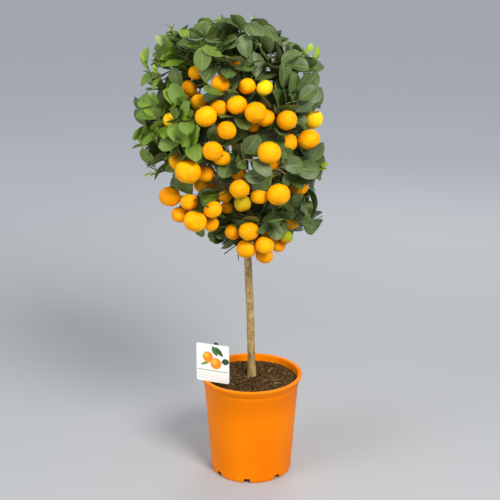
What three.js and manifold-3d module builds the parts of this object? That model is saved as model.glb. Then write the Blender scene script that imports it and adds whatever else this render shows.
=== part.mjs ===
// A potted calamondin: a small citrus tree with a round crown on a clear stem, in an orange nursery pot.
// Millimetres, +Z up, -Y is the front. The origin is the middle of the pot's foot, on the ground.
import * as THREE from "three";
import { mergeVertices } from "three/addons/utils/BufferGeometryUtils.js";
import Module from "manifold-3d";

const wasm = await Module();
wasm.setup();

// Pot: a thin moulded cup with a turned-down lip, a raised floor, a middle foot and drain notches.
const potHeight = 190;
const rimRadius = 95;
const baseRadius = 75;
const potWall = 1.6;
const lipHeight = 14;
const lipOverhang = 6;
const footRadius = 20;
const notchCount = 8;
const notchWidth = 15;
const notchHeight = 9;
const notchTurn = 39; // degrees from +X to the first notch
const drainRadius = 4.5;
const drainCircle = 56;

// Soil
const soilDrop = 12; // from the top of the rim down to the soil
const soilUnevenness = 2.5;

// Wood
const stemRadius = 7.5;
const stemHeight = 312; // from the soil to the fork
const rootDepth = 95;
const rootRadius = 4.5;
const limbRadius = 4.2;
const branchletRadius = 1.8;
const twigRadius = 1.2;

// Crown
const leafWidth = 0.5; // of a leaf's length
const leafThickness = 1.2;
const leafLength = 46;
const leafSpacing = 12;
const sprigReach = 105;

// Label
const cardWidth = 64;
const cardHeight = 73;
const cardThickness = 0.8;
const stakeWidth = 9;
const stakeThickness = 1.8;
const stakeDepth = 70; // in the soil
const stakePoint = 14; // the length of its tapered end
const stakeInset = 3.4; // from the pot's wall, level with the stake's point, to the stake
const stakeBearing = 216.1; // degrees round the pot from +X
const labelTurn = 20.8; // degrees, right edge forward

const gap = 0.3; // between pieces that touch
const rounds = 36; // facets round the pot and the soil

const point = (x, y, z) => new THREE.Vector3(x, y, z);
const lerp = THREE.MathUtils.lerp;
const turn = THREE.MathUtils.degToRad;

// A repeatable value from 0 to 1 for each whole number.
function scatter(index) {
  const value = Math.sin(index * 12.9898 + 4.1) * 43758.5453;
  return value - Math.floor(value);
}

// ---- Solids

function solid(geometry) {
  const bare = geometry.clone();
  bare.deleteAttribute("normal");
  bare.deleteAttribute("uv");
  const merged = mergeVertices(bare, 1e-4);
  return new wasm.Manifold(
    new wasm.Mesh({
      numProp: 3,
      vertProperties: merged.attributes.position.array,
      triVerts: new Uint32Array(merged.index.array),
    }),
  );
}

function geometryOf(manifold) {
  const mesh = manifold.getMesh();
  const geometry = new THREE.BufferGeometry();
  geometry.setAttribute("position", new THREE.BufferAttribute(mesh.vertProperties, 3));
  geometry.setIndex(new THREE.BufferAttribute(mesh.triVerts, 1));
  geometry.computeVertexNormals();
  return geometry;
}

const join = (solids) => solids.reduce((whole, next) => whole.add(next));

// A profile of [radius, height] pairs turned round Z.
function lathe(profile) {
  const outline = profile.map(([radius, height]) => new THREE.Vector2(radius, height));
  return new THREE.LatheGeometry(outline, rounds).rotateX(Math.PI / 2);
}

// A straight-sided path through points: its length, and the place a share of the way along.
const pathLength = (path) => path.slice(1).reduce((sum, place, i) => sum + place.distanceTo(path[i]), 0);

function pathPoint(path, share) {
  let left = THREE.MathUtils.clamp(share, 0, 1) * pathLength(path);
  for (let i = 0; i + 2 < path.length; i += 1) {
    const step = path[i].distanceTo(path[i + 1]);
    if (left <= step) {
      return path[i].clone().lerp(path[i + 1], left / step);
    }
    left -= step;
  }
  return path.at(-2).clone().lerp(path.at(-1), left / path.at(-2).distanceTo(path.at(-1)));
}

// The directions across a path at each of its points, which turn as little as they can.
function framesOf(path) {
  const line = new THREE.CurvePath();
  for (let i = 0; i + 1 < path.length; i += 1) {
    line.add(new THREE.LineCurve3(path[i], path[i + 1]));
  }
  const last = path.length - 1;
  line.getTangentAt = (share) => {
    const i = Math.round(share * last);
    const before = path[Math.max(i, 1)].clone().sub(path[Math.max(i, 1) - 1]).normalize();
    const after = path[Math.min(i + 1, last)].clone().sub(path[Math.min(i, last - 1)]).normalize();
    return before.add(after).normalize();
  };
  return line.computeFrenetFrames(last);
}

// A bar along a path that thins evenly from one radius to the other.
function bar(path, startRadius, endRadius, sides) {
  const steps = path.length - 1;
  const geometry = new THREE.CylinderGeometry(1, 1, 1, sides, steps);
  const { normals, binormals } = framesOf(path);
  const places = geometry.attributes.position;
  for (let i = 0; i < places.count; i += 1) {
    const step = Math.round((places.getY(i) + 0.5) * steps);
    const radius = lerp(startRadius, endRadius, step / steps);
    const place = path[step].clone();
    place.addScaledVector(binormals[step], places.getX(i) * radius);
    place.addScaledVector(normals[step], places.getZ(i) * radius);
    places.setXYZ(i, place.x, place.y, place.z);
  }
  return solid(geometry);
}

// ---- Pot

const outerWall = (height) =>
  baseRadius + ((rimRadius - lipOverhang - baseRadius) * height) / (potHeight - lipHeight);
const innerWall = (height) => outerWall(height) - potWall;
const floorUnder = notchHeight + 1;
const floorTop = floorUnder + potWall;

function pot() {
  const lipBottom = potHeight - lipHeight;
  const lipUnder = potHeight - potWall;
  const rolled = 1.5; // of each rolled edge
  const body = solid(
    lathe([
      [0, 0],
      [footRadius, 0],
      [footRadius, floorUnder],
      [innerWall(floorUnder), floorUnder],
      [innerWall(0), 0],
      [outerWall(0) - rolled, 0],
      [outerWall(rolled), rolled],
      [outerWall(lipBottom), lipBottom],
      [outerWall(lipBottom) + 0.5, lipUnder],
      [rimRadius - potWall - 0.5, lipUnder],
      [rimRadius - potWall, lipBottom],
      [rimRadius - 0.5, lipBottom],
      [rimRadius, lipBottom + rolled],
      [rimRadius, potHeight - 2 * rolled],
      [rimRadius - rolled, potHeight - 0.4 * rolled],
      [rimRadius - 2 * rolled, potHeight],
      [innerWall(potHeight) + rolled, potHeight],
      [innerWall(potHeight), potHeight - rolled],
      [innerWall(floorTop), floorTop],
      [0, floorTop],
    ]),
  );
  const notch = new THREE.Shape();
  notch.moveTo(-notchWidth / 2, -1);
  notch.lineTo(notchWidth / 2, -1);
  notch.lineTo(notchWidth * 0.36, notchHeight);
  notch.lineTo(-notchWidth * 0.36, notchHeight);
  const cuts = [];
  for (let i = 0; i < notchCount; i += 1) {
    const angle = turn(notchTurn) + (i * 2 * Math.PI) / notchCount;
    const slot = new THREE.ExtrudeGeometry(notch, { depth: 14, bevelEnabled: false });
    slot.rotateX(Math.PI / 2).translate(0, 7, 0).rotateZ(Math.PI / 2);
    slot.translate(innerWall(0) - 1, 0, 0).rotateZ(angle);
    const drain = new THREE.CylinderGeometry(drainRadius, drainRadius, 4 * potWall, 8);
    drain.rotateX(Math.PI / 2).translate(drainCircle, 0, floorTop - potWall / 2).rotateZ(angle);
    cuts.push(solid(slot), solid(drain));
  }
  return body.subtract(join(cuts));
}

// ---- Trunk, roots and limbs

const soilTop = potHeight - soilDrop;
const fork = point(-8, 3, soilTop + stemHeight);
const stemFoot = point(1, 12, soilTop);

// Limbs run from the fork, or from the leader, out into the crown. Places are from the fork.
const limbRoutes = [
  [[0, 0, -8], [-8, -2, 60], [-18, -6, 130], [-12, -10, 215], [-10, -10, 285]],
  [[0, 0, -6], [-34, -34, 48], [-58, -54, 120], [-58, -56, 185]],
  [[0, 0, -6], [-46, 32, 50], [-86, 56, 130], [-90, 50, 205]],
  [[0, 0, -6], [30, -34, 44], [50, -50, 108], [40, -58, 175]],
  [[0, 0, -6], [38, 34, 50], [52, 42, 125], [48, 30, 215]],
  [[0, 0, -4], [-4, -42, 70], [-8, -72, 150], [-14, -76, 225]],
  [[0, 0, -10], [-50, -8, 60], [-98, -14, 140], [-118, -14, 225]],
  [[0, 0, -4], [38, -2, 62], [76, -8, 140], [88, -12, 215]],
  [[0, 0, -8], [-10, 54, 64], [-16, 88, 150], [-10, 74, 235]],
  [[-18, -6, 130], [-52, -22, 200], [-82, -34, 268]],
  [[-18, -6, 130], [22, -24, 196], [44, -30, 262]],
  [[-12, -10, 215], [-26, 30, 262], [-20, 52, 290]],
  [[0, 0, -12], [2, -34, 16], [10, -62, 18]],
  [[0, 0, -10], [-44, -40, 26], [-84, -64, 52]],
  [[0, 0, -10], [34, -18, 16], [58, -36, 20]],
  [[0, 0, -10], [-42, 46, 20], [-66, 70, 36]],
  [[0, 0, -10], [34, 44, 18], [54, 66, 30]],
];

const fromFork = ([x, y, z]) => point(x, y, z).add(fork);
const smooth = (places, steps) => new THREE.CatmullRomCurve3(places).getSpacedPoints(steps);
const limbs = limbRoutes.map((places) => smooth(places.map(fromFork), 4));

const stemPlaces = [
  point(stemFoot.x, stemFoot.y, soilTop - rootDepth),
  point(stemFoot.x + 1, stemFoot.y, soilTop - rootDepth / 2),
  stemFoot,
  point(lerp(stemFoot.x, fork.x, 0.3), lerp(stemFoot.y, fork.y, 0.4), soilTop + stemHeight * 0.4),
  point(lerp(stemFoot.x, fork.x, 0.8), lerp(stemFoot.y, fork.y, 0.8), soilTop + stemHeight * 0.75),
  fork,
];

const roots = [10, 85, 150, 220, 300].map((degrees, i) => {
  const out = point(Math.cos(turn(degrees)), Math.sin(turn(degrees)), 0);
  const start = stemFoot.clone().setZ(soilTop - 34 - 6 * i);
  const knee = start.clone().addScaledVector(out, 18).setZ(soilTop - 52 - 6 * i);
  const end = start.clone().addScaledVector(out, 38).setZ(soilTop - 84 - 7 * i);
  return [start, knee, end];
});

// The stem and its roots, thicker and longer by the clearance where they are cut out of the soil.
function stemAndRoots(clearance) {
  const grown = (path, startRadius, endRadius, sides) => {
    const start = path[0].clone().sub(path[1]).setLength(clearance).add(path[0]);
    const end = path.at(-1).clone().sub(path.at(-2)).setLength(clearance).add(path.at(-1));
    const longer = [start, ...path.slice(1, -1), end];
    return bar(longer, startRadius + clearance, endRadius + clearance, sides);
  };
  const stem = grown(smooth(stemPlaces, 9), stemRadius, stemRadius * 0.94, 8);
  const flare = [stemFoot.clone().setZ(soilTop - 30), stemFoot.clone().setZ(soilTop + 26)];
  const collar = grown(flare, stemRadius * 1.45, stemRadius * 0.98, 8);
  const spread = roots.map((root) => grown(root, rootRadius, rootRadius * 0.36, 4));
  return join([stem, collar, ...spread]);
}

// ---- Soil

function soil() {
  const bottom = floorTop + gap;
  const side = (height) => innerWall(height) - 1.5 * gap;
  const rings = [0.86, 0.66, 0.44, 0.2, 0];
  const profile = [
    [0, bottom],
    [side(bottom), bottom],
    [side(soilTop - 1), soilTop - 1],
    ...rings.map((share) => [side(soilTop) * share, soilTop]),
  ];
  const geometry = lathe(profile);
  const places = geometry.attributes.position;
  for (let i = 0; i < places.count; i += 1) {
    if (places.getZ(i) > soilTop - 0.5) {
      const x = places.getX(i);
      const y = places.getY(i);
      const swell = Math.sin(x / 13 + 1) * Math.cos(y / 11) + 0.5 * Math.sin((x - y) / 6);
      places.setZ(i, soilTop + swell * soilUnevenness * 0.6);
    }
  }
  const stakeHole = stake(gap);
  return solid(geometry).subtract(stemAndRoots(gap)).subtract(stakeHole);
}

// ---- Label: a printed card on a flat stake

const labelAxis = point(-Math.sin(turn(labelTurn)), -Math.cos(turn(labelTurn)), 0);
const labelFoot = point(Math.cos(turn(stakeBearing)), Math.sin(turn(stakeBearing)), 0)
  .multiplyScalar(innerWall(soilTop - stakeDepth) - stakeInset)
  .setZ(soilTop);
const cardBottom = potHeight + 2 * gap;
const stakeTop = cardBottom + cardHeight + 4;

function stake(clearance) {
  const half = stakeWidth / 2 + clearance;
  const depth = stakeThickness + 2 * clearance;
  const taperLength = Math.hypot(stakePoint, stakeWidth / 2);
  const shape = new THREE.Shape();
  shape.moveTo(0, soilTop - stakeDepth - (clearance * taperLength * 2) / stakeWidth);
  shape.lineTo(half, soilTop - stakeDepth + stakePoint);
  shape.lineTo(half, stakeTop - stakeWidth / 2);
  shape.lineTo(half * 0.7, stakeTop - stakeWidth * 0.15);
  shape.lineTo(0, stakeTop + clearance);
  shape.lineTo(-half * 0.7, stakeTop - stakeWidth * 0.15);
  shape.lineTo(-half, stakeTop - stakeWidth / 2);
  shape.lineTo(-half, soilTop - stakeDepth + stakePoint);
  const strip = new THREE.ExtrudeGeometry(shape, { depth, bevelEnabled: false });
  strip.translate(0, 0, -depth / 2).rotateX(Math.PI / 2).rotateZ(-turn(labelTurn));
  strip.translate(labelFoot.x, labelFoot.y, 0);
  return solid(strip);
}

function card() {
  const shape = new THREE.Shape();
  shape.moveTo(-cardWidth / 2, 0);
  shape.lineTo(cardWidth / 2, 0);
  shape.lineTo(cardWidth / 2, cardHeight);
  shape.lineTo(-cardWidth / 2, cardHeight);
  const sheet = new THREE.ExtrudeGeometry(shape, { depth: cardThickness, bevelEnabled: false });
  sheet.translate(-6, 0, 0).rotateX(Math.PI / 2).rotateZ(-turn(labelTurn));
  const ahead = stakeThickness / 2 + gap;
  sheet.translate(
    labelFoot.x + labelAxis.x * ahead,
    labelFoot.y + labelAxis.y * ahead,
    cardBottom,
  );
  return solid(sheet);
}

// ---- Crown

// Fruit by bunch: [x, y, z, diameter], with places from the fork.
const bunches = {
  upper_left: [[-61, -129, 200, 36], [-45, -113, 207, 29]],
  upper_middle: [[-18, -118, 214, 33], [-31, -138, 177, 31]],
  middle_left: [[-54, -143, 144, 34], [-40, -119, 128, 28]],
  middle_right: [[15, -134, 205, 36], [31, -105, 192, 31], [10, -89, 176, 23]],
  right_single: [[66, -112, 189, 34]],
  top_left: [[-42, -99, 246, 30], [-20, -59, 279, 21]],
  top_right: [[2, -106, 243, 28], [29, -107, 241, 27]],
  shaded_left: [[-78, -89, 215, 28], [-95, -62, 235, 27], [-83, -70, 261, 26]],
  yellow_left: [[-126, -73, 183, 27]],
  right_three: [[114, -32, 178, 34], [101, -73, 150, 37], [73, -70, 145, 34]],
  broad: [[37, -140, 141, 39], [39, -103, 119, 33]],
  left_large: [[-95, -131, 108, 43], [-116, -78, 114, 30], [-67, -103, 98, 28]],
  centre: [
    [-11, -125, 78, 34], [-13, -76, 94, 27], [-5, -105, 49, 30],
    [-37, -72, 52, 22], [-34, -61, 30, 22],
  ],
  right_low: [[20, -108, 61, 30], [53, -124, 68, 39], [90, -52, 64, 33]],
  left_hanging: [
    [-130, -83, 55, 37],
    [-96, -103, 50, 30],
    [-113, -85, 24, 29],
    [-85, -121, 22, 39],
    [-56, -115, 40, 31],
    [-60, -91, 9, 27],
  ],
  front_low: [[4, -103, 0, 35], [-24, -73, -10, 28], [1, -88, -35, 35]],
  right_hanging: [
    [30, -98, -26, 33],
    [32, -65, -53, 31],
    [42, -71, -16, 29],
    [53, -61, -37, 26],
    [67, -75, -18, 24],
    [79, -53, 2, 26],
  ],
  back_top: [[-32, 92, 245, 30], [-2, 98, 230, 32]],
  back_left_high: [[-97, 72, 200, 34], [-72, 92, 176, 30]],
  back_right_high: [[53, 92, 200, 34], [78, 70, 182, 30]],
  back_middle: [[-22, 132, 150, 36], [8, 127, 128, 34], [-14, 120, 108, 30]],
  back_left: [[-117, 67, 120, 36], [-98, 92, 98, 32], [-134, 36, 104, 28]],
  back_right: [[83, 77, 120, 36], [104, 44, 100, 32]],
  back_left_low: [[-82, 77, 42, 36], [-56, 96, 28, 34], [-72, 90, 2, 30]],
  back_right_low: [[48, 92, 42, 36], [74, 70, 26, 32], [30, 84, 6, 30]],
};

// Leafy sprigs: the tips that they reach to, with places from the fork. One with more tips forks.
const sprigs = {
  top_far_left: [[-132, -23, 320], [-97, -63, 280]],
  left_shoulder: [[-157, -13, 285], [-177, -23, 235]],
  left_crest: [[-117, -63, 200], [-82, -128, 190]],
  left_reach: [[-192, -23, 125], [-172, 17, 170]],
  left_shoot: [[-142, -93, 175], [-107, -133, 195]],
  left_pale: [[-157, -83, 110], [-152, -63, 80], [-92, -143, 138]],
  top_front_left: [[-67, -83, 310], [-42, -93, 330]],
  top_crest: [[-42, -23, 345], [-22, 7, 328]],
  top_flag: [[23, -13, 340], [3, -63, 320]],
  top_right: [[33, -33, 330], [68, -23, 310]],
  top_right_dark: [[43, -103, 275], [68, -63, 285]],
  right_round: [[98, -63, 285], [128, -23, 265], [108, -33, 260]],
  right_hanging: [[88, -63, 230], [98, -63, 180]],
  right_front: [[78, -113, 210], [33, -123, 225]],
  front_high: [[-22, -113, 280], [8, -113, 270]],
  front_heart: [[-62, -143, 240]],
  front_middle: [[-12, -148, 120], [-47, -113, 115]],
  front_pointing: [[8, -138, 115], [8, -138, 80]],
  right_dark: [[108, -73, 105], [128, -63, 100]],
  right_under: [[93, -63, 45], [88, -83, 30], [108, -20, -24]],
  front_under: [[28, -108, 10], [23, -123, 10]],
  left_under: [[-57, -63, -5], [-37, -83, 0]],
  back_crown: [[-52, 57, 310], [-2, 67, 315]],
  back_upper_left: [[-112, 57, 270], [-142, 57, 230]],
  back_upper_right: [[58, 57, 290], [93, 27, 270]],
  back_high: [[-42, 117, 250], [18, 117, 245]],
  back_far_left: [[-152, 67, 160], [-122, 107, 190]],
  back_far_right: [[113, 37, 200], [98, 87, 165]],
  back_side_left: [[-147, 57, 80], [-107, 107, 70], [-52, 142, 180]],
  back_side_right: [[113, 47, 70], [78, 102, 80], [38, 137, 170]],
};

// Where a sprig starts, for those that don't grow straight out from a limb. Places are from the fork.
const sprigStarts = {
  front_pointing: [56, -98, 98],
  right_under: [58, -42, 38],
};

const clearance = 0.8; // kept between growing pieces
const shortestTwig = 26; // from a limb to the foot of a sprig's end leaf
const grown = { fruit: [], stems: [], blades: [] };

// Fruit that would overlap push each other apart.
function settleFruit() {
  for (const [owner, list] of Object.entries(bunches)) {
    for (const [x, y, z, diameter] of list) {
      grown.fruit.push({ owner, centre: fromFork([x, y, z]), radius: diameter / 2 });
    }
  }
  for (let pass = 0; pass < 80; pass += 1) {
    grown.fruit.forEach((a, i) => {
      grown.fruit.slice(i + 1).forEach((b) => {
        const apart = b.centre.clone().sub(a.centre);
        const short = a.radius + b.radius + clearance - apart.length();
        if (short > 0) {
          apart.setLength(short / 2 + 0.01);
          a.centre.sub(apart);
          b.centre.add(apart);
        }
      });
    });
  }
}

// The nearest places of two straight stretches, as the distance between them.
function stretchDistance(a0, a1, b0, b1) {
  const u = a1.clone().sub(a0);
  const v = b1.clone().sub(b0);
  const w = a0.clone().sub(b0);
  const uu = u.dot(u);
  const uv = u.dot(v);
  const vv = v.dot(v);
  const spread = uu * vv - uv * uv;
  const clamp = THREE.MathUtils.clamp;
  let s = spread < 1e-9 ? 0 : clamp((uv * v.dot(w) - vv * u.dot(w)) / spread, 0, 1);
  const t = clamp((v.dot(w) + s * uv) / vv, 0, 1);
  s = clamp((t * uv - u.dot(w)) / uu, 0, 1);
  return w.addScaledVector(u, s).addScaledVector(v, -t).length();
}

// How much room a path keeps to fruit and stems of other owners; below 0 it runs through one.
function roomOf(path, radius, owner, spared) {
  let room = Infinity;
  for (let i = 0; i + 1 < path.length; i += 1) {
    const [a, b] = [path[i], path[i + 1]];
    const line = new THREE.Line3(a, b);
    const near = point(0, 0, 0);
    for (const fruit of grown.fruit) {
      if (!spared.includes(fruit)) {
        line.closestPointToPoint(fruit.centre, true, near);
        room = Math.min(room, near.distanceTo(fruit.centre) - fruit.radius - radius);
      }
    }
    for (const stem of grown.stems) {
      if (stem.owner !== owner) {
        room = Math.min(room, stretchDistance(a, b, stem.a, stem.b) - stem.radius - radius);
      }
    }
  }
  return room;
}

// A path from start to end that bows aside as far as it must to clear what has grown already.
function route(start, end, radius, owner, { lead = null, spared = [], steps = 2 } = {}) {
  const along = end.clone().sub(start);
  const length = along.length();
  const side = new THREE.Vector3().crossVectors(along, Math.abs(along.z) > 0.9 * length
    ? point(1, 0, 0) : point(0, 0, 1)).normalize();
  let best = null;
  for (const bow of [0.06, 0.12, 0.2, 0.3, 0.42, 0.55, 0.7]) {
    for (let k = 0; k < 12; k += 1) {
      const aside = side.clone().applyAxisAngle(along.clone().normalize(), (k * Math.PI) / 6);
      const bend = start.clone().lerp(end, 0.5).addScaledVector(aside, bow * length);
      const curve = lead
        ? new THREE.CubicBezierCurve3(
            start,
            start.clone().addScaledVector(lead, length * 0.3),
            bend,
            end,
          )
        : new THREE.QuadraticBezierCurve3(start, bend, end);
      const path = curve.getSpacedPoints(steps);
      const room = roomOf(path, radius, owner, spared);
      if (!best || room > best.room) {
        best = { path, room };
      }
      if (room > clearance) {
        return best;
      }
    }
  }
  return best;
}

function addStem(path, radius, owner) {
  for (let i = 0; i + 1 < path.length; i += 1) {
    grown.stems.push({ owner, radius, a: path[i], b: path[i + 1] });
  }
}

// The places on the limbs that a branchlet to the target may leave from, nearer and inner ones first.
function limbPlaces(target) {
  const axis = point(fork.x - 12, fork.y - 5, 0);
  const reachOf = (place) => Math.hypot(place.x - axis.x, place.y - axis.y);
  const places = [];
  for (const limb of limbs) {
    for (let step = 1; step <= 8; step += 1) {
      const place = pathPoint(limb, step / 8);
      const outward = Math.max(0, reachOf(place) - reachOf(target) + 14);
      const down = Math.max(0, place.z - target.z);
      places.push({ place, cost: place.distanceTo(target) + 2 * outward + 0.4 * down });
    }
  }
  return places.sort((a, b) => a.cost - b.cost).map(({ place }) => place);
}

const branchlets = [];

// The first of several plans that keeps its clearance, or else the one with the most room.
function bestPlan(choices, plan) {
  let best = null;
  for (const choice of choices) {
    const made = plan(choice);
    best = !best || made.room > best.room ? made : best;
    if (best.room > clearance) {
      break;
    }
  }
  return best;
}

// A branchlet of the wood, which ends where a bunch or a sprig begins.
function branchletTo(target) {
  const plan = (place) => route(place, target, branchletRadius, "wood");
  const { path, room } = bestPlan(limbPlaces(target).slice(0, 12), plan);
  return { path, room, lead: target.clone().sub(path.at(-2)).normalize() };
}

// Adds a plan's branchlet to the wood and its own stems to what has grown.
function keep({ branchlet, stems }, owner) {
  addStem(branchlet.path, branchletRadius, "wood");
  branchlets.push(branchlet.path);
  stems.forEach((path) => addStem(path, twigRadius, owner));
}

function growBunch(owner) {
  const own = grown.fruit.filter((fruit) => fruit.owner === owner);
  const middle = point(0, 0, 0);
  own.forEach((fruit) => middle.addScaledVector(fruit.centre, 1 / own.length));
  const plan = bestPlan(limbPlaces(middle).slice(0, 12), (limbPlace) => {
    const inward = limbPlace.clone().sub(middle);
    const reach = inward.length() - branchletRadius * 2;
    inward.normalize();
    const behind = own.map((fruit) => fruit.centre.clone().sub(middle).dot(inward) + fruit.radius);
    const hub = middle.clone().addScaledVector(inward, Math.min(Math.max(...behind) + 8, reach));
    const branchlet = branchletTo(hub);
    const knot = hub.clone().addScaledVector(branchlet.lead, 5);
    const stalks = own.map((fruit) => route(knot, fruit.centre, twigRadius, owner, { spared: [fruit] }));
    const stub = [hub.clone().addScaledVector(branchlet.lead, gap), knot];
    const room = Math.min(branchlet.room, ...stalks.map((stalk) => stalk.room));
    return { branchlet, room, stems: [stub, ...stalks.map((stalk) => stalk.path)] };
  });
  keep(plan, owner);
  return { owner, own, stems: plan.stems };
}

function growSprig(owner) {
  const tips = sprigs[owner].map(fromFork);
  const farEnough = (place) => place.distanceTo(tips[0]) > shortestTwig + leafLength;
  const plan = bestPlan(limbPlaces(tips[0]).filter(farEnough).slice(0, 12), (limbPlace) => {
    const outward = tips[0].clone().sub(limbPlace);
    const reach = Math.min(sprigReach, outward.length() - 8);
    const start = sprigStarts[owner]
      ? fromFork(sprigStarts[owner])
      : tips[0].clone().addScaledVector(outward.normalize(), -reach);
    const branchlet = branchletTo(start);
    const { lead } = branchlet;
    const base = start.clone().addScaledVector(lead, gap);
    const knot = base.clone().addScaledVector(lead, 4);
    const stems = [];
    let room = branchlet.room;
    tips.forEach((tip, i) => {
      const forks = i === 0 ? [knot] : [0.4, 0.25, 0.55, 0.7].map((share) => pathPoint(stems[0], share));
      const twig = bestPlan(forks, (from) => {
        const end = tip.clone().addScaledVector(tip.clone().sub(from).normalize(), -leafLength * 0.9);
        return route(from, end, twigRadius, owner, { lead: i === 0 ? lead : null });
      });
      room = Math.min(room, twig.room);
      stems.push(i === 0 ? [base, ...twig.path] : twig.path);
    });
    return { branchlet, room, stems };
  });
  keep(plan, owner);
  return { owner, twigs: plan.stems.map((path, i) => ({ path, tip: tips[i] })) };
}

// A leaf blade's outline from base to tip: [share of its length, share of its half width].
const bladeOutline = [[0, 0], [0.34, 0.94], [0.74, 0.84], [1, 0]];
const bladeNeck = [0.13, 0.3]; // where the stalk widens into the blade

function bladeAt(owner, base, direction, normal, length) {
  const side = new THREE.Vector3().crossVectors(direction, normal);
  const half = (length * leafWidth) / 2;
  const edge = ([along, across], sign) =>
    base.clone()
      .addScaledVector(direction, along * length)
      .addScaledVector(side, sign * across * half);
  const [, wide, narrowing, tip] = bladeOutline;
  const outline = [
    ...[bladeNeck, wide, narrowing, tip].map((place) => edge(place, 1)),
    ...[narrowing, wide, bladeNeck].map((place) => edge(place, -1)),
  ];
  const middle = base.clone().addScaledVector(direction, length / 2);
  const stalk = edge(bladeNeck, 0);
  return { owner, base, direction, normal, side, length, half, outline, middle, stalk };
}

function bladeDistance(place, blade) {
  const height = place.clone().sub(blade.middle).dot(blade.normal);
  const flat = place.clone().addScaledVector(blade.normal, -height);
  let inside = true;
  let nearest = Infinity;
  const line = new THREE.Line3();
  const near = point(0, 0, 0);
  blade.outline.forEach((from, i) => {
    const to = blade.outline[(i + 1) % blade.outline.length];
    const turned = new THREE.Vector3().crossVectors(to.clone().sub(from), flat.clone().sub(from));
    inside = inside && turned.dot(blade.normal) > 0;
    line.set(from, to).closestPointToPoint(place, true, near);
    nearest = Math.min(nearest, near.distanceTo(place));
  });
  return inside ? Math.abs(height) : nearest;
}

// The distance from a straight stretch to a blade, 0 where it passes through.
function bladeToStretch(a, b, blade) {
  const heightA = a.clone().sub(blade.middle).dot(blade.normal);
  const heightB = b.clone().sub(blade.middle).dot(blade.normal);
  if (heightA * heightB < 0) {
    const crossing = a.clone().lerp(b, heightA / (heightA - heightB));
    if (bladeDistance(crossing, blade) < 0.01) {
      return 0;
    }
  }
  let nearest = Math.min(bladeDistance(a, blade), bladeDistance(b, blade));
  blade.outline.forEach((from, i) => {
    const to = blade.outline[(i + 1) % blade.outline.length];
    nearest = Math.min(nearest, stretchDistance(a, b, from, to));
  });
  return nearest;
}

function bladesTouch(one, other) {
  const apart = leafThickness + 0.3;
  const edgesTouch = (from, blade) =>
    from.outline.some((place, i) => {
      const next = from.outline[(i + 1) % from.outline.length];
      return bladeToStretch(place, next, blade) < apart;
    }) || bladeToStretch(from.base, from.stalk, blade) < apart;
  return edgesTouch(one, other) || edgesTouch(other, one);
}

function bladeIsClear(blade) {
  const near = (place, reach) => place.distanceTo(blade.middle) < reach + blade.length * 0.6 + 4;
  const thick = leafThickness / 2 + 0.4;
  return (
    !grown.fruit.some(
      (fruit) =>
        near(fruit.centre, fruit.radius) &&
        (bladeDistance(fruit.centre, blade) < fruit.radius + thick + clearance ||
          fruit.centre.distanceTo(blade.stalk) < fruit.radius + clearance),
    ) &&
    !grown.stems.some(
      (stem) =>
        near(stem.a, stem.a.distanceTo(stem.b)) &&
        (stem.owner === blade.owner
          ? bladeToStretch(stem.a, stem.b, blade) < 0.05
          : bladeToStretch(stem.a, stem.b, blade) < stem.radius + thick ||
            stretchDistance(stem.a, stem.b, blade.base, blade.stalk) < stem.radius + thick),
    ) &&
    !grown.blades.some(
      (other) => near(other.middle, other.length * 0.6) && bladesTouch(blade, other),
    )
  );
}

const crownMiddle = point(fork.x - 30, fork.y - 5, fork.z + 110);

// A leaf faces the light: up, and away from the middle of the crown.
function facingLight(base, direction, roll) {
  const light = base.clone().sub(crownMiddle).normalize().multiplyScalar(0.8).add(point(0, 0, 0.7));
  light.addScaledVector(direction, -light.dot(direction)).normalize();
  return light.applyAxisAngle(direction, turn(roll));
}

// A leaf stands where its twig gives it room: it swings round the twig, tips, rolls or stays small.
function growLeaf(owner, base, along, angle, pitch, length) {
  const side = new THREE.Vector3().crossVectors(along, Math.abs(along.z) > 0.9
    ? point(1, 0, 0) : point(0, 0, 1)).normalize();
  for (const share of [1, 0.85, 0.7, 0.55, 0.4, 0.28]) {
    for (const tip of [0, 18, -16]) {
      for (const swing of [0, 28, -28, 56, -56, 90, -90, 135, -135, 180]) {
        const outward = side.clone().applyAxisAngle(along, turn(angle + swing));
        const lean = turn(pitch + tip);
        const direction = along.clone().multiplyScalar(Math.cos(lean));
        direction.addScaledVector(outward, Math.sin(lean)).normalize();
        for (const roll of [0, 24, -24]) {
          const normal = facingLight(base, direction, roll);
          const blade = bladeAt(owner, base, direction, normal, length * share);
          if (bladeIsClear(blade)) {
            grown.blades.push(blade);
            grown.stems.push({ owner, radius: 0.8, a: base, b: blade.stalk });
            return;
          }
        }
      }
    }
  }
}

function growLeaves({ owner, twigs }, number) {
  twigs.forEach(({ path, tip }, i) => {
    const end = path.at(-1);
    const back = path.at(-2).clone().sub(end).setLength(1.5);
    const seed = number * 17 + i * 7;
    const size = leafLength * (1 + 0.12 * scatter(seed));
    growLeaf(owner, end.clone().add(back), tip.clone().sub(end).normalize(), 0, 4, size);
    const length = pathLength(path);
    const first = i === 0 ? 8 : 16;
    for (let place = length - 5, k = 1; place > first; place -= leafSpacing, k += 1) {
      const share = place / length;
      const lateral = leafLength * (0.72 + 0.32 * scatter(seed + k));
      const along = pathPoint(path, share + 0.02).sub(pathPoint(path, share - 0.02)).normalize();
      growLeaf(owner, pathPoint(path, share), along, k * 137.5 + seed, 58, lateral);
    }
  });
}

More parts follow.
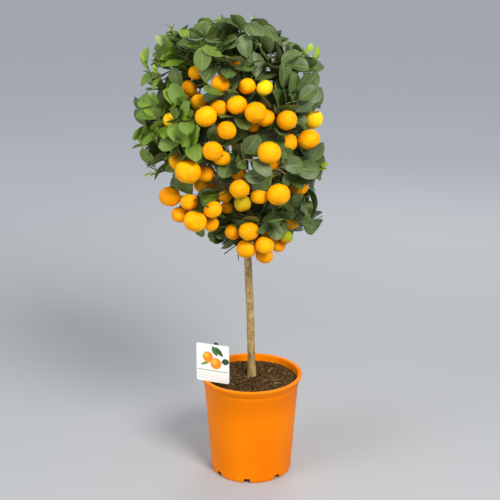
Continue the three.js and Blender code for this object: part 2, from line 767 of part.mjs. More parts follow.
function bladeSolid({ base, direction, normal, side, length, half }) {
  const corners = bladeOutline.length - 1;
  const geometry = new THREE.SphereGeometry(1, 2 * corners, 2);
  const places = geometry.attributes.position;
  for (let i = 0; i < places.count; i += 1) {
    const ridge = Math.abs(places.getY(i)) > 0.5;
    const angle = Math.atan2(Math.abs(places.getZ(i)), -places.getX(i));
    const index = Math.round((angle * corners) / Math.PI);
    const [along, across] = ridge ? [0.5, 0] : bladeOutline[index];
    const place = base.clone()
      .addScaledVector(direction, along * length)
      .addScaledVector(side, Math.sign(places.getZ(i)) * across * half)
      .addScaledVector(normal, ridge ? Math.sign(places.getY(i)) * leafThickness / 2 : 0);
    places.setXYZ(i, place.x, place.y, place.z);
  }
  return solid(geometry);
}

function fruitSolid({ centre, radius }) {
  const geometry = new THREE.DodecahedronGeometry(radius * 1.06, 0);
  geometry.translate(centre.x, centre.y, centre.z);
  return solid(geometry);
}

settleFruit();
limbs.forEach((limb) => addStem(limb, limbRadius * 0.8, "wood"));
const bunchParts = Object.keys(bunches).map(growBunch);
const sprigParts = Object.keys(sprigs).map(growSprig);
sprigParts.forEach(growLeaves);

function wood() {
  const limbSolids = limbs.map((limb, i) => bar(limb, limbRadius * (i ? 1 : 1.4), limbRadius * 0.45, 5));
  const branchletSolids = branchlets.map((path) => bar(path, branchletRadius, branchletRadius * 0.8, 3));
  return join([stemAndRoots(0), ...limbSolids, ...branchletSolids]);
}

const bunchSolid = ({ own, stems }) =>
  join([
    ...stems.map((path) => bar(path, twigRadius, twigRadius, 3)),
    ...own.map(fruitSolid),
  ]);

const sprigSolid = ({ owner, twigs }) =>
  join([
    ...twigs.map(({ path }) => bar(path, twigRadius, twigRadius * 0.8, 3)),
    ...grown.blades.filter((blade) => blade.owner === owner).map(bladeSolid),
  ]);

// ---- The object

const finishes = {
  pot: { color: 0xf78200, roughness: 0.42 },
  soil: { color: 0x4a3a2a, roughness: 1 },
  wood: { color: 0xa58c5a, roughness: 0.85 },
  fruit: { color: 0xf7a400, roughness: 0.45 },
  leaf: { color: 0x3f6b34, roughness: 0.5 },
  card: { color: 0xf2f2ee, roughness: 0.5 },
  stake: { color: 0x1f4a2c, roughness: 0.5 },
};

const plant = new THREE.Group();

function add(name, finish, manifold) {
  const material = new THREE.MeshStandardMaterial({ ...finishes[finish], metalness: 0 });
  const mesh = new THREE.Mesh(geometryOf(manifold), material);
  mesh.name = name;
  plant.add(mesh);
}

add("pot", "pot", pot());
add("soil", "soil", soil());
add("trunk_and_branches", "wood", wood());
add("label_card", "card", card());
add("label_stake", "stake", stake(0));
bunchParts.forEach((part) => add("fruit_bunch_" + part.owner, "fruit", bunchSolid(part)));
sprigParts.forEach((part) => add("leafy_sprig_" + part.owner, "leaf", sprigSolid(part)));

export default plant;
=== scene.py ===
# A potted calamondin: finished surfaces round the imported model.
import bpy
import bmesh
import math
import random
import numpy as np
from mathutils import Matrix, Vector, noise
from mathutils.kdtree import KDTree


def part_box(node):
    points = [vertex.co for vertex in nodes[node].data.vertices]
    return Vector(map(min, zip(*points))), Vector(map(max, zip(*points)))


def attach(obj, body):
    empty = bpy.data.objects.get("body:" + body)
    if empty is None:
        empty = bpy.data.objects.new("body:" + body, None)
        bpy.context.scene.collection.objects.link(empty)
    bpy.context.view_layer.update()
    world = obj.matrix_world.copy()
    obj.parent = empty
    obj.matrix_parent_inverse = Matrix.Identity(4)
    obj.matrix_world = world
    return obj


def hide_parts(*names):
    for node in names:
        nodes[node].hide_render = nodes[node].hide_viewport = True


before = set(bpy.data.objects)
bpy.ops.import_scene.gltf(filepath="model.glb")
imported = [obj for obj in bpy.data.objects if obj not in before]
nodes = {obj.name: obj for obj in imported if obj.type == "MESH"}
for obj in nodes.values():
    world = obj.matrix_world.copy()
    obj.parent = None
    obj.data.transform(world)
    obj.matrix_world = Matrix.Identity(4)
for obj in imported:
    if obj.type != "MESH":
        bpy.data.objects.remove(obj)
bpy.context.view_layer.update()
scene = bpy.context.scene
bunchNodes = sorted(name for name in nodes if name.startswith("fruit_bunch_"))
sprigNodes = sorted(name for name in nodes if name.startswith("leafy_sprig_"))
_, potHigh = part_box("pot")
soilLow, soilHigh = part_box("soil")
rimRadius = potHigh.x
rimHeight = potHigh.z


def stage(words):
    print("calamondin:", words, flush=True)


def operator(operation, swapped=False):
    def apply(self, *others):
        values = (self, *others)
        values = dict(enumerate(reversed(values) if swapped else values))
        return self.tree.node("ShaderNodeMath", {"operation": operation}, values)
    return apply


class Wire:
    # a node's socket, on which an expression adds its Math nodes
    def __init__(self, tree, socket):
        self.tree = tree
        self.socket = socket

    __add__ = operator("ADD")
    __radd__ = operator("ADD")
    __mul__ = operator("MULTIPLY")
    __rmul__ = operator("MULTIPLY")
    __sub__ = operator("SUBTRACT")
    __rsub__ = operator("SUBTRACT", swapped=True)
    __truediv__ = operator("DIVIDE")
    __rtruediv__ = operator("DIVIDE", swapped=True)
    __pow__ = operator("POWER")
    __gt__ = operator("GREATER_THAN")
    __lt__ = operator("LESS_THAN")
    __abs__ = operator("ABSOLUTE")

    def __neg__(self):
        return self * -1.0

    def maths(self, operation, *others):
        return operator(operation)(self, *others)

    def ramp(self, low, high):
        ends = {"Value": self, "From Min": low, "From Max": high}
        return self.tree.node("ShaderNodeMapRange", {"interpolation_type": "SMOOTHSTEP"}, ends)


class Tree:
    def __init__(self, nodeTree):
        self.nodeTree = nodeTree

    def node(self, kind, settings=None, values=None, output=0):
        made = self.nodeTree.nodes.new(kind)
        for key, value in (settings or {}).items():
            setattr(made, key, value)
        for key, value in (values or {}).items():
            self.feed(made, key, value)
        return Wire(self, self.pick(made.outputs, output)) if len(made.outputs) else None

    def pick(self, sockets, key):
        if isinstance(key, int):
            return sockets[key]
        return next(s for s in sockets if s.enabled and key in (s.identifier, s.name))

    def feed(self, made, key, value):
        socket = self.pick(made.inputs, key)
        for one in value if isinstance(value, list) else [value]:
            if isinstance(one, Wire):
                self.nodeTree.links.new(one.socket, socket)
            else:
                socket.default_value = one


class Finish(Tree):
    def __init__(self, name, **constants):
        self.material = bpy.data.materials.new(name)
        self.material.use_nodes = True
        super().__init__(self.material.node_tree)
        self.nodeTree.nodes.clear()
        self.shader = self.nodeTree.nodes.new("ShaderNodeBsdfPrincipled")
        self.node("ShaderNodeOutputMaterial", None, {"Surface": Wire(self, self.shader.outputs[0])})
        self.place = self.node("ShaderNodeTexCoord", None, None, "Object")
        for key, value in constants.items():
            self.shader.inputs[key.replace("_", " ")].default_value = value

    def set(self, **values):
        for key, value in values.items():
            self.feed(self.shader, key.replace("_", " "), value)
        return self.material

    def map(self, name):
        spot = self.node("ShaderNodeUVMap", {"uv_map": name})
        parts = self.nodeTree.nodes.new("ShaderNodeSeparateXYZ")
        self.feed(parts, "Vector", spot)
        return Wire(self, parts.outputs["X"]), Wire(self, parts.outputs["Y"])

    def own(self, name):
        return self.node("ShaderNodeAttribute", {"attribute_name": name}, None, "Fac")

    def noise(self, scale, detail=3.0, roughness=0.5, stretch=None):
        place = self.place
        if stretch:
            place = self.node("ShaderNodeMapping", None, {"Vector": place, "Scale": stretch})
        values = {"Vector": place, "Scale": scale, "Detail": detail, "Roughness": roughness}
        return self.node("ShaderNodeTexNoise", None, values, "Fac")

    def cells(self, scale, feature="F1", output="Distance"):
        values = {"Vector": self.place, "Scale": scale}
        return self.node("ShaderNodeTexVoronoi", {"feature": feature}, values, output)

    def mix(self, share, first, second):
        values = {"Factor_Float": share, "A_Color": first, "B_Color": second}
        return self.node("ShaderNodeMix", {"data_type": "RGBA"}, values, "Result_Color")

    def bump(self, height, distance, strength):
        values = {"Height": height, "Distance": distance, "Strength": strength}
        return self.node("ShaderNodeBump", None, values)


def tone(red, green, blue):
    # a colour given as it looks on screen, turned into the shader's own scale
    linear = [(c / 12.92 if c <= 0.04045 else ((c + 0.055) / 1.055) ** 2.4) for c in (red, green, blue)]
    return (*linear, 1.0)


def potPlastic():
    colours = {"body": tone(0.975, 0.53, 0.0), "deep": tone(0.95, 0.47, 0.0), "dust": tone(0.72, 0.42, 0.12)}
    f = Finish("pot plastic", Specular_IOR_Level=0.06)
    cloud = f.noise(14.0, 3.0)
    flow = f.noise(9.0, 4.0, 0.6, (1.0, 1.0, 0.12))
    base = f.mix((cloud * 0.6 + flow * 0.5).ramp(0.35, 0.85), colours["body"], colours["deep"])
    specks = (f.cells(190.0) < 0.045) * f.noise(22.0).ramp(0.60, 0.75)
    dusty = f.mix(specks * 0.5, base, colours["dust"])
    grain = f.noise(2200.0, 2.0)
    ripple = f.noise(60.0, 2.0)
    f.set(Normal=f.bump(grain * 0.25 + ripple, 0.0004, 0.28))
    return f.set(Base_Color=dusty, Roughness=0.36 + 0.12 * cloud)


def soilCrumb():
    colours = {"dark": tone(0.17, 0.125, 0.06), "mid": tone(0.36, 0.27, 0.14), "pale": tone(0.58, 0.48, 0.30)}
    f = Finish("potting soil", Specular_IOR_Level=0.1)
    patch = f.noise(90.0, 6.0, 0.7)
    bits = f.cells(520.0, "F1", "Color")
    shade = f.node("ShaderNodeSeparateColor", None, {"Color": bits})
    base = f.mix(patch.ramp(0.35, 0.68), colours["dark"], colours["mid"])
    flecked = f.mix((shade > 0.90) * 0.6, base, colours["pale"])
    fine = f.noise(900.0, 5.0, 0.7)
    f.set(Normal=f.bump(fine + patch, 0.0012, 0.9))
    return f.set(Base_Color=flecked, Roughness=0.86 + 0.12 * fine)


def chipBark():
    f = Finish("bark chips", Specular_IOR_Level=0.2)
    streak = f.noise(420.0, 4.0, 0.6)
    kind = f.noise(60.0, 1.0)
    dry = f.mix(kind.ramp(0.4, 0.6), tone(0.34, 0.25, 0.13), tone(0.62, 0.52, 0.34))
    dry = f.mix(kind > 0.68, dry, tone(0.80, 0.55, 0.10))
    f.set(Normal=f.bump(streak, 0.0005, 0.8))
    flecked = f.mix(streak.ramp(0.35, 0.7), tone(0.24, 0.16, 0.10), dry)
    return f.set(Base_Color=flecked, Roughness=0.8 + 0.1 * streak)


def bark():
    colours = {"tan": tone(0.74, 0.63, 0.40), "brown": tone(0.60, 0.49, 0.29), "grey": tone(0.76, 0.69, 0.52),
               "green": tone(0.50, 0.50, 0.27), "pore": tone(0.30, 0.23, 0.14)}
    f = Finish("bark", Specular_IOR_Level=0.12)
    long = f.noise(260.0, 5.0, 0.62, (1.0, 1.0, 0.22))
    patch = f.noise(55.0, 4.0, 0.6)
    pores = (1.0 - f.cells(340.0).ramp(0.16, 0.34)) * f.noise(120.0).ramp(0.38, 0.52)
    height = f.node("ShaderNodeSeparateXYZ", None, {"Vector": f.place}, "Z")
    base = f.mix(long.ramp(0.34, 0.66), colours["brown"], colours["tan"])
    blotch = f.noise(230.0, 4.0, 0.65).ramp(0.52, 0.64)
    mottled = f.mix(patch.ramp(0.48, 0.66) * 0.7, base, colours["grey"])
    mottled = f.mix(blotch * 0.5, mottled, colours["pore"])
    greener = f.mix(height.ramp(0.50, 0.62) * 0.55, mottled, colours["green"])
    fine = f.noise(900.0, 3.0, 0.6, (1.0, 1.0, 0.4))
    f.set(Normal=f.bump(long + 0.3 * fine, 0.0012, 0.7))
    return f.set(Base_Color=f.mix(pores * 0.7, greener, colours["pore"]), Roughness=0.68 + 0.2 * long)


def peel():
    colours = {"ripe": tone(0.985, 0.68, 0.0), "deep": tone(0.96, 0.59, 0.0), "gold": tone(1.0, 0.80, 0.09),
               "green": tone(0.58, 0.62, 0.10), "scar": tone(0.62, 0.42, 0.16)}
    f = Finish("peel", Specular_IOR_Level=0.09)
    around, along = f.map("peelMap")
    ripeness = f.own("ripeness")
    cloud = f.noise(48.0, 3.0, 0.55)
    ripe = f.mix(cloud.ramp(0.35, 0.7), colours["ripe"], colours["deep"])
    kinds = f.mix(ripeness.ramp(0.5, 1.0), ripe, colours["gold"])
    greenness = (1.0 - ripeness.ramp(0.02, 0.16)) * (0.35 + 0.9 * along + 0.5 * cloud).ramp(0.35, 1.1)
    turning = f.mix(greenness, kinds, colours["green"])
    collar = (along + 0.05 * cloud).ramp(0.93, 1.0) * 0.35
    pores = f.cells(1150.0)
    freckle = (f.cells(260.0) < 0.07) * cloud.ramp(0.5, 0.62)
    base = f.mix(collar, turning, colours["green"])
    darker = f.mix((1.0 - pores.ramp(0.05, 0.32)) * 0.22, base, colours["deep"])
    f.set(Normal=f.bump(pores.ramp(0.0, 0.55) + 0.6 * f.noise(240.0, 2.0), 0.00035, 0.55))
    return f.set(Base_Color=f.mix(freckle * 0.45, darker, colours["scar"]), Roughness=0.34 + 0.16 * cloud)


def leafGreen():
    colours = {"old": tone(0.23, 0.30, 0.12), "mid": tone(0.33, 0.41, 0.19),
               "freshAndLit": tone(0.45, 0.57, 0.13), "young": tone(0.55, 0.68, 0.11),
               "rib": tone(0.50, 0.56, 0.30), "under": tone(0.43, 0.50, 0.28),
               "edge": tone(0.38, 0.44, 0.21), "spot": tone(0.50, 0.45, 0.24)}
    f = Finish("leaf", Specular_IOR_Level=0.5)
    across, along = f.map("leafMap")
    youth = f.own("youth")
    under = across > 1.5
    fromRib = abs(across - 0.5 - 2.0 * under) * 2.0
    cloud = f.noise(70.0, 3.0, 0.6)
    rib = 1.0 - fromRib.ramp(0.015, 0.065)
    veinPhase = (along * 9.5 - fromRib * 1.7 + 0.25 * cloud).maths("FRACT")
    vein = (1.0 - abs(veinPhase - 0.5).ramp(0.02, 0.13)) * (1.0 - fromRib.ramp(0.7, 1.0))
    net = f.cells(620.0, "DISTANCE_TO_EDGE")
    base = f.mix(cloud.ramp(0.3, 0.7), colours["old"], colours["mid"])
    # this value lightens a leaf towards the fresh green: young growth, and also painted light on the crown's
    # left and front
    fresherAndLit = f.mix(youth.ramp(0.35, 0.75), base, colours["freshAndLit"])
    younger = f.mix(youth.ramp(0.8, 1.0), fresherAndLit, colours["young"])
    belly = f.mix(under * 0.72, younger, f.mix(youth.ramp(0.5, 1.0), colours["under"], colours["young"]))
    veined = f.mix(rib * 0.75 + vein * 0.16, belly, colours["rib"])
    rimmed = f.mix(fromRib.ramp(0.9, 1.0) * 0.35, veined, colours["edge"])
    spots = (f.cells(150.0) < 0.06) * cloud.ramp(0.55, 0.65)
    relief = rib * (1.0 - 2.0 * under) * -0.8 + vein * -0.5 + 0.12 * net.ramp(0.0, 0.3) + 0.5 * cloud
    f.set(Normal=f.bump(relief, 0.0005, 0.5))
    gloss = 0.42 + 0.14 * cloud + 0.16 * under
    return f.set(Base_Color=f.mix(spots * 0.5, rimmed, colours["spot"]), Roughness=gloss)


def twigGreen():
    f = Finish("twig", Specular_IOR_Level=0.35)
    streak = f.noise(500.0, 4.0, 0.6)
    patch = f.noise(40.0, 2.0)
    green = f.mix(patch.ramp(0.4, 0.62), tone(0.33, 0.42, 0.16), tone(0.46, 0.42, 0.24))
    f.set(Normal=f.bump(streak, 0.0004, 0.6))
    shaded = f.mix(streak.ramp(0.4, 0.7) * 0.5, green, tone(0.27, 0.27, 0.13))
    return f.set(Base_Color=shaded, Roughness=0.5 + 0.2 * streak)


def calyxGreen():
    f = Finish("calyx", Specular_IOR_Level=0.35)
    mottle = f.noise(700.0, 3.0)
    f.set(Normal=f.bump(mottle, 0.0003, 0.6))
    green = f.mix(mottle.ramp(0.35, 0.65), tone(0.38, 0.47, 0.16), tone(0.55, 0.56, 0.25))
    return f.set(Base_Color=green, Roughness=0.55 + 0.2 * mottle)


def stakePlastic():
    f = Finish("stake plastic", Specular_IOR_Level=0.4)
    cloud = f.noise(60.0, 3.0)
    f.set(Normal=f.bump(f.noise(1500.0, 2.0), 0.0002, 0.4))
    green = f.mix(cloud.ramp(0.3, 0.7), tone(0.05, 0.17, 0.09), tone(0.09, 0.24, 0.13))
    return f.set(Base_Color=green, Roughness=0.4 + 0.15 * cloud)


def cardPrint():
    # two fruit and four leaves on white over a green band, in the card's own 0 to 1 map
    white = tone(0.95, 0.95, 0.93)
    f = Finish("card print", Specular_IOR_Level=0.5, Coat_Weight=0.25, Coat_Roughness=0.2)
    across, up = f.map("cardMap")
    fibre = f.noise(1800.0, 2.0)
    height = cardSize["height"] / cardSize["width"]
    y = up * height

    def disc(cx, cy, radius):
        dx, dy = across - cx, y - cy
        return (dx * dx + dy * dy) ** 0.5 / radius

    def blade(cx, cy, length, width, degrees):
        c, s = math.cos(math.radians(degrees)), math.sin(math.radians(degrees))
        dx, dy = across - cx, y - cy
        alongIt = (dx * c + dy * s) / length
        acrossIt = (dy * c - dx * s) / width
        return 1.0 - (alongIt * alongIt + abs(acrossIt)).ramp(0.88, 1.0)

    picture = white
    for cx, cy, length, width, degrees, green in (
        (0.57, 0.95, 0.17, 0.085, -62, tone(0.24, 0.45, 0.13)),
        (0.70, 0.94, 0.19, 0.07, -50, tone(0.16, 0.33, 0.12)),
        (0.89, 0.66, 0.13, 0.10, 8, tone(0.12, 0.27, 0.11)),
        (0.27, 0.55, 0.17, 0.045, 24, tone(0.45, 0.62, 0.16)),
    ):
        picture = f.mix(blade(cx, cy, length, width, degrees), picture, green)
    for cx, cy, radius in ((0.355, 0.75, 0.165), (0.60, 0.575, 0.175)):
        away = disc(cx, cy, radius)
        shine = 1.0 - disc(cx - 0.045, cy + 0.05, radius * 0.75).ramp(0.0, 1.0)
        fill = f.mix(shine, tone(0.93, 0.55, 0.03), tone(1.0, 0.80, 0.20))
        picture = f.mix(1.0 - away.ramp(0.94, 1.0), picture, fill)
    band = (1.0 - abs(y - 0.345).ramp(0.006, 0.014)) * (1.0 - abs(across - 0.5).ramp(0.46, 0.465))
    picture = f.mix(band, picture, tone(0.42, 0.58, 0.28))
    for lineUp, reach in ((0.235, 0.34), (0.165, 0.46), (0.10, 0.27)):
        half = reach / 2
        ends = 1.0 - abs(across - 0.06 - half).ramp(half, half + 0.004)
        bar = (1.0 - abs(y - lineUp).ramp(0.006, 0.011)) * ends
        picture = f.mix(bar * 0.55, picture, tone(0.72, 0.74, 0.72))
    edge = abs(across - 0.5).ramp(0.485, 0.5)
    f.set(Normal=f.bump(fibre, 0.0001, 0.25))
    return f.set(Base_Color=f.mix(edge * 0.3, picture, tone(0.8, 0.8, 0.76)), Roughness=0.32 + 0.1 * fibre)


def linked(name, data):
    made = bpy.data.objects.new(name, data)
    scene.collection.objects.link(made)
    return made


def meshPiece(name, verts, faces, material, smooth=True):
    mesh = bpy.data.meshes.new(name)
    mesh.from_pydata([tuple(v) for v in verts], [], faces)
    mesh.materials.append(material)
    mesh.polygons.foreach_set("use_smooth", [smooth] * len(mesh.polygons))
    return linked(name, mesh)


def built(name, bm):
    # an object of what a bmesh holds
    mesh = bpy.data.meshes.new(name)
    bm.to_mesh(mesh)
    bm.free()
    return linked(name, mesh)


def baked(obj):
    # the evaluated shape as a plain mesh, with no modifier left
    depsgraph = bpy.context.evaluated_depsgraph_get()
    depsgraph.update()
    mesh = bpy.data.meshes.new_from_object(obj.evaluated_get(depsgraph), depsgraph=depsgraph)
    obj.modifiers.clear()
    obj.data = mesh
    return obj


def smoothByAngle(obj, degrees):
    mesh = obj.data
    mesh.polygons.foreach_set("use_smooth", [True] * len(mesh.polygons))
    mesh.set_sharp_from_angle(angle=math.radians(degrees))


def closedLathe(profile, segments):
    # rings of a closed profile turned round Z; a profile point on the axis becomes one pole
    verts, rings = [], []
    for radius, height in profile:
        if radius < 1e-7:
            rings.append([len(verts)] * segments)
            verts.append((0, 0, height))
        else:
            rings.append(list(range(len(verts), len(verts) + segments)))
            for k in range(segments):
                angle = 2 * math.pi * k / segments
                verts.append((radius * math.cos(angle), radius * math.sin(angle), height))
    faces = []
    for low, high in zip(rings, rings[1:]):
        for k in range(segments):
            n = (k + 1) % segments
            corners = []
            for v in (low[k], low[n], high[n], high[k]):
                if v not in corners:
                    corners.append(v)
            if len(corners) > 2:
                faces.append(corners)
    return verts, faces


def facingOut(obj):
    bm = bmesh.new()
    bm.from_mesh(obj.data)
    bmesh.ops.remove_doubles(bm, verts=bm.verts, dist=1e-7)
    bmesh.ops.recalc_face_normals(bm, faces=bm.faces)
    bm.to_mesh(obj.data)
    bm.free()


def settle(obj, *replaced, slot):
    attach(obj, "root")
    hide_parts(*replaced)
    return obj


woodMesh = nodes["trunk_and_branches"].data
woodCorners = [v.co.copy() for v in woodMesh.vertices]
woodTree = KDTree(len(woodCorners))
for i, corner in enumerate(woodCorners):
    woodTree.insert(corner, i)
woodTree.balance()
crownNodes = [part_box(name) for name in bunchNodes + sprigNodes]
crownLow = Vector([min(low[k] for low, high in crownNodes) for k in range(3)])
crownHigh = Vector([max(high[k] for low, high in crownNodes) for k in range(3)])
crownMiddle = (crownLow + crownHigh) / 2

cadShapes = {
    "broadEdge": 0.0026,  # a fruit's or a leaf's faces have no edge shorter than this, a stalk's do
    "fruitSwell": 1.06,  # the twelve-sided fruit's corners stand this much outside its size
    "ring": 0.0033,  # a stem's corners closer than this are one ring
    "seam": 0.0026,  # a sprig's corners this near its first one are where it meets the wood
}


def welded(node):
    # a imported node's faces, which of them are broad, and the corners that belong to a stalk
    bm = bmesh.new()
    bm.from_mesh(nodes[node].data)
    bmesh.ops.remove_doubles(bm, verts=bm.verts, dist=1e-5)
    broad = {f for f in bm.faces if min(e.calc_length() for e in f.edges) > cadShapes["broadEdge"]}
    thin = [v for v in bm.verts if any(f not in broad for f in v.link_faces)]
    return bm, broad, thin


def broadIslands(node):
    bm, broad, stalk = welded(node)
    thin = [v.co.copy() for v in stalk]
    islands = []
    left = set(broad)
    for first in sorted(broad, key=lambda f: f.index):
        if first not in left:
            continue
        left.discard(first)
        island, edge = [], [first]
        while edge:
            face = edge.pop()
            island.append(face)
            for joined in (n for e in face.edges for n in e.link_faces):
                if joined in left:
                    left.discard(joined)
                    edge.append(joined)
        if len(island) >= 6:
            corners = {v.index: v for f in island for v in f.verts}
            whole = [v for _, v in sorted(corners.items()) if all(f in broad for f in v.link_faces)]
            uses = {index: sum(f in v.link_faces for f in island) for index, v in corners.items()}
            used = sorted(((count, index) for index, count in uses.items()), reverse=True)
            islands.append({
                "whole": [v.co.copy() for v in whole],
                "ridges": [corners[index].co.copy() for _, index in used[:2]],
            })
    bm.free()
    return islands, thin


def startOf(thin):
    # where a sprig or bunch meets the wood: the stem corners nearest to it
    nearest = min(thin, key=lambda co: woodTree.find(co)[2])
    close = [co for co in thin if (co - nearest).length < cadShapes["seam"]]
    return sum(close, Vector()) / len(close)


def fruitsOf(node):
    islands, _ = broadIslands(node)
    fruits = []
    for island in islands:
        corners = np.array([tuple(co) for co in island["whole"]])
        if len(corners) < 6:
            continue
        rows = np.hstack([2 * corners, np.ones((len(corners), 1))])
        answer, *_ = np.linalg.lstsq(rows, (corners ** 2).sum(1), rcond=None)
        centre = Vector(answer[:3])
        radius = math.sqrt(answer[3] + centre.dot(centre)) / cadShapes["fruitSwell"]
        fruits.append({"centre": centre, "radius": radius})
    return fruits


def leavesOf(node):
    islands, thin = broadIslands(node)
    leaves = []
    for island in islands:
        middle = sum(island["ridges"], Vector()) / 2
        if not island["whole"]:
            continue
        tip = max(island["whole"], key=lambda co: (co - middle).length)
        direction = (tip - middle).normalized()
        length = 2 * (tip - middle).length
        leaves.append({"base": middle - direction * length / 2, "direction": direction, "length": length})
    return leaves, startOf(thin)


bunches = {name: fruitsOf(name) for name in bunchNodes}
sprigs = {name: leavesOf(name) for name in sprigNodes}
allFruit = [fruit for fruits in bunches.values() for fruit in fruits]
packedLeaves = [leaf for leaves, _ in sprigs.values() for leaf in leaves]
stage(f"found {len(allFruit)} fruit and {len(packedLeaves)} leaves in the packed model")


class Groups:
    # keys that are joined into groups, each known by its head
    def __init__(self, keys):
        self.leader = {key: key for key in keys}

    def head(self, key):
        while self.leader[key] != key:
            key = self.leader[key]
        return key

    def join(self, one, other):
        one, other = self.head(one), self.head(other)
        self.leader[other] = one
        return one != other


def middleLines(node):
    # a stem's ring of corners is one point, and the shortest links between rings make its tree
    bm, _, thin = welded(node)
    known = {v.index for v in thin}
    links = [e for e in bm.edges if all(v.index in known for v in e.verts)]
    links.sort(key=lambda e: (e.calc_length(), e.index))
    ringOf = Groups(known)
    for edge in links:
        if edge.calc_length() < cadShapes["ring"]:
            ringOf.join(*(v.index for v in edge.verts))
    rings = {}
    for v in thin:
        rings.setdefault(ringOf.head(v.index), []).append(v.co.copy())
    keys = sorted(rings)
    places = [sum(rings[key], Vector()) / len(rings[key]) for key in keys]
    number = {key: i for i, key in enumerate(keys)}
    stem = Groups(keys)
    edges = []
    for edge in links:
        one, other = (ringOf.head(v.index) for v in edge.verts)
        if stem.join(one, other):
            edges.append((number[one], number[other]))
    bm.free()
    return places, edges


def distancesFrom(start, places, edges):
    # how far along the stem each point is from the wood
    near = [[] for _ in places]
    for one, other in edges:
        near[one].append(other)
        near[other].append(one)
    first = min(range(len(places)), key=lambda i: (places[i] - start).length)
    distance = {first: 0.0}
    edge = [first]
    while edge:
        here = edge.pop()
        for there in near[here]:
            if there not in distance:
                distance[there] = distance[here] + (places[there] - places[here]).length
                edge.append(there)
    return distance


class Grower(Tree):
    def __init__(self, name, inputs):
        group = bpy.data.node_groups.new(name, "GeometryNodeTree")
        super().__init__(group)
        for way in ("OUTPUT", "INPUT"):
            group.interface.new_socket("Geometry", in_out=way, socket_type="NodeSocketGeometry")
        for title, value in inputs.items():
            kind = {int: "Int", float: "Float"}.get(type(value), "Material")
            socket = group.interface.new_socket(title, in_out="INPUT", socket_type="NodeSocket" + kind)
            if value is not None:
                socket.default_value = value
        self.entry = group.nodes.new("NodeGroupInput")

    def given(self, name="Geometry"):
        return Wire(self, self.entry.outputs[name])

    def own(self, name, kind="FLOAT"):
        return self.node("GeometryNodeInputNamedAttribute", {"data_type": kind}, {"Name": name}, "Attribute")

    def spot(self):
        return self.parts(self.node("GeometryNodeInputPosition"))

    def parts(self, vector):
        made = self.nodeTree.nodes.new("ShaderNodeSeparateXYZ")
        self.feed(made, "Vector", vector)
        return [Wire(self, made.outputs[axis]) for axis in "XYZ"]

    def vector(self, x, y, z):
        return self.node("ShaderNodeCombineXYZ", None, {"X": x, "Y": y, "Z": z})

    def scaled(self, vector, factor):
        return self.node("ShaderNodeVectorMath", {"operation": "SCALE"}, {0: vector, "Scale": factor})

    def total(self, first, *others):
        for other in others:
            first = self.node("ShaderNodeVectorMath", {"operation": "ADD"}, {0: first, 1: other})
        return first

    def moved(self, geometry, place):
        return self.node("GeometryNodeSetPosition", None, {"Geometry": geometry, "Position": place})

    def lumpy(self, geometry, scale, detail, height):
        # pushed along its normals by noise
        values = {"Vector": self.node("GeometryNodeInputPosition"), "Scale": scale, "Detail": detail}
        lump = self.node("ShaderNodeTexNoise", None, values, 0)
        push = self.scaled(self.node("GeometryNodeInputNormal"), (lump - 0.5) * height)
        return self.node("GeometryNodeSetPosition", None, {"Geometry": geometry, "Offset": push})

    def mapped(self, geometry, name, uv):
        return self.node("GeometryNodeStoreNamedAttribute", {"data_type": "FLOAT2", "domain": "CORNER"},
                         {"Geometry": geometry, "Name": name, "Value": uv})

    def pointsOf(self, flag):
        values = {"Mesh": self.given(), "Selection": self.own(flag)}
        return self.node("GeometryNodeMeshToPoints", None, values)

    def placed(self, points, shape, rotation=None, scale=None):
        values = {"Points": points, "Instance": shape}
        if rotation:
            values["Rotation"] = rotation
        if scale:
            values["Scale"] = scale
        return self.node("GeometryNodeRealizeInstances", None,
                         {"Geometry": self.node("GeometryNodeInstanceOnPoints", None, values)})

    def tubes(self, sides, finish):
        curve = self.node("GeometryNodeMeshToCurve", None, {"Mesh": self.given()})
        eased = self.node("GeometryNodeCurveSplineType", {"spline_type": "CATMULL_ROM"}, {"Curve": curve})
        fine = self.node("GeometryNodeSetSplineResolution", None, {"Geometry": eased, "Resolution": 3})
        ring = self.node("GeometryNodeCurvePrimitiveCircle", None, {"Resolution": sides, "Radius": 1.0})
        values = {"Curve": fine, "Profile Curve": ring, "Scale": self.own("thick"), "Fill Caps": True}
        tube = self.node("GeometryNodeCurveToMesh", None, values)
        return self.painted(tube, finish)

    def painted(self, geometry, finish):
        whole = self.node("GeometryNodeRealizeInstances", None, {"Geometry": geometry})
        return self.node("GeometryNodeSetMaterial", None, {"Geometry": whole, "Material": self.given(finish)})

    def end(self, *branches):
        out = self.nodeTree.nodes.new("NodeGroupOutput")
        self.feed(out, "Geometry", self.node("GeometryNodeJoinGeometry", None, {"Geometry": list(branches)}))

    def grow(self, name, mesh, **values):
        # run the tree on a mesh and keep the result as a plain object
        made = linked(name, mesh)
        modifier = made.modifiers.new("grow", "NODES")
        modifier.node_group = self.nodeTree
        for item in self.nodeTree.interface.items_tree:
            key = item.name.replace(" ", "_")
            if item.in_out == "INPUT" and key in values:
                modifier[item.identifier] = values[key]
        return baked(made)


leafShape = {"petiole": 0.15, "neck": 0.00075, "thickness": 0.0006, "rows": 9, "columns": 5}


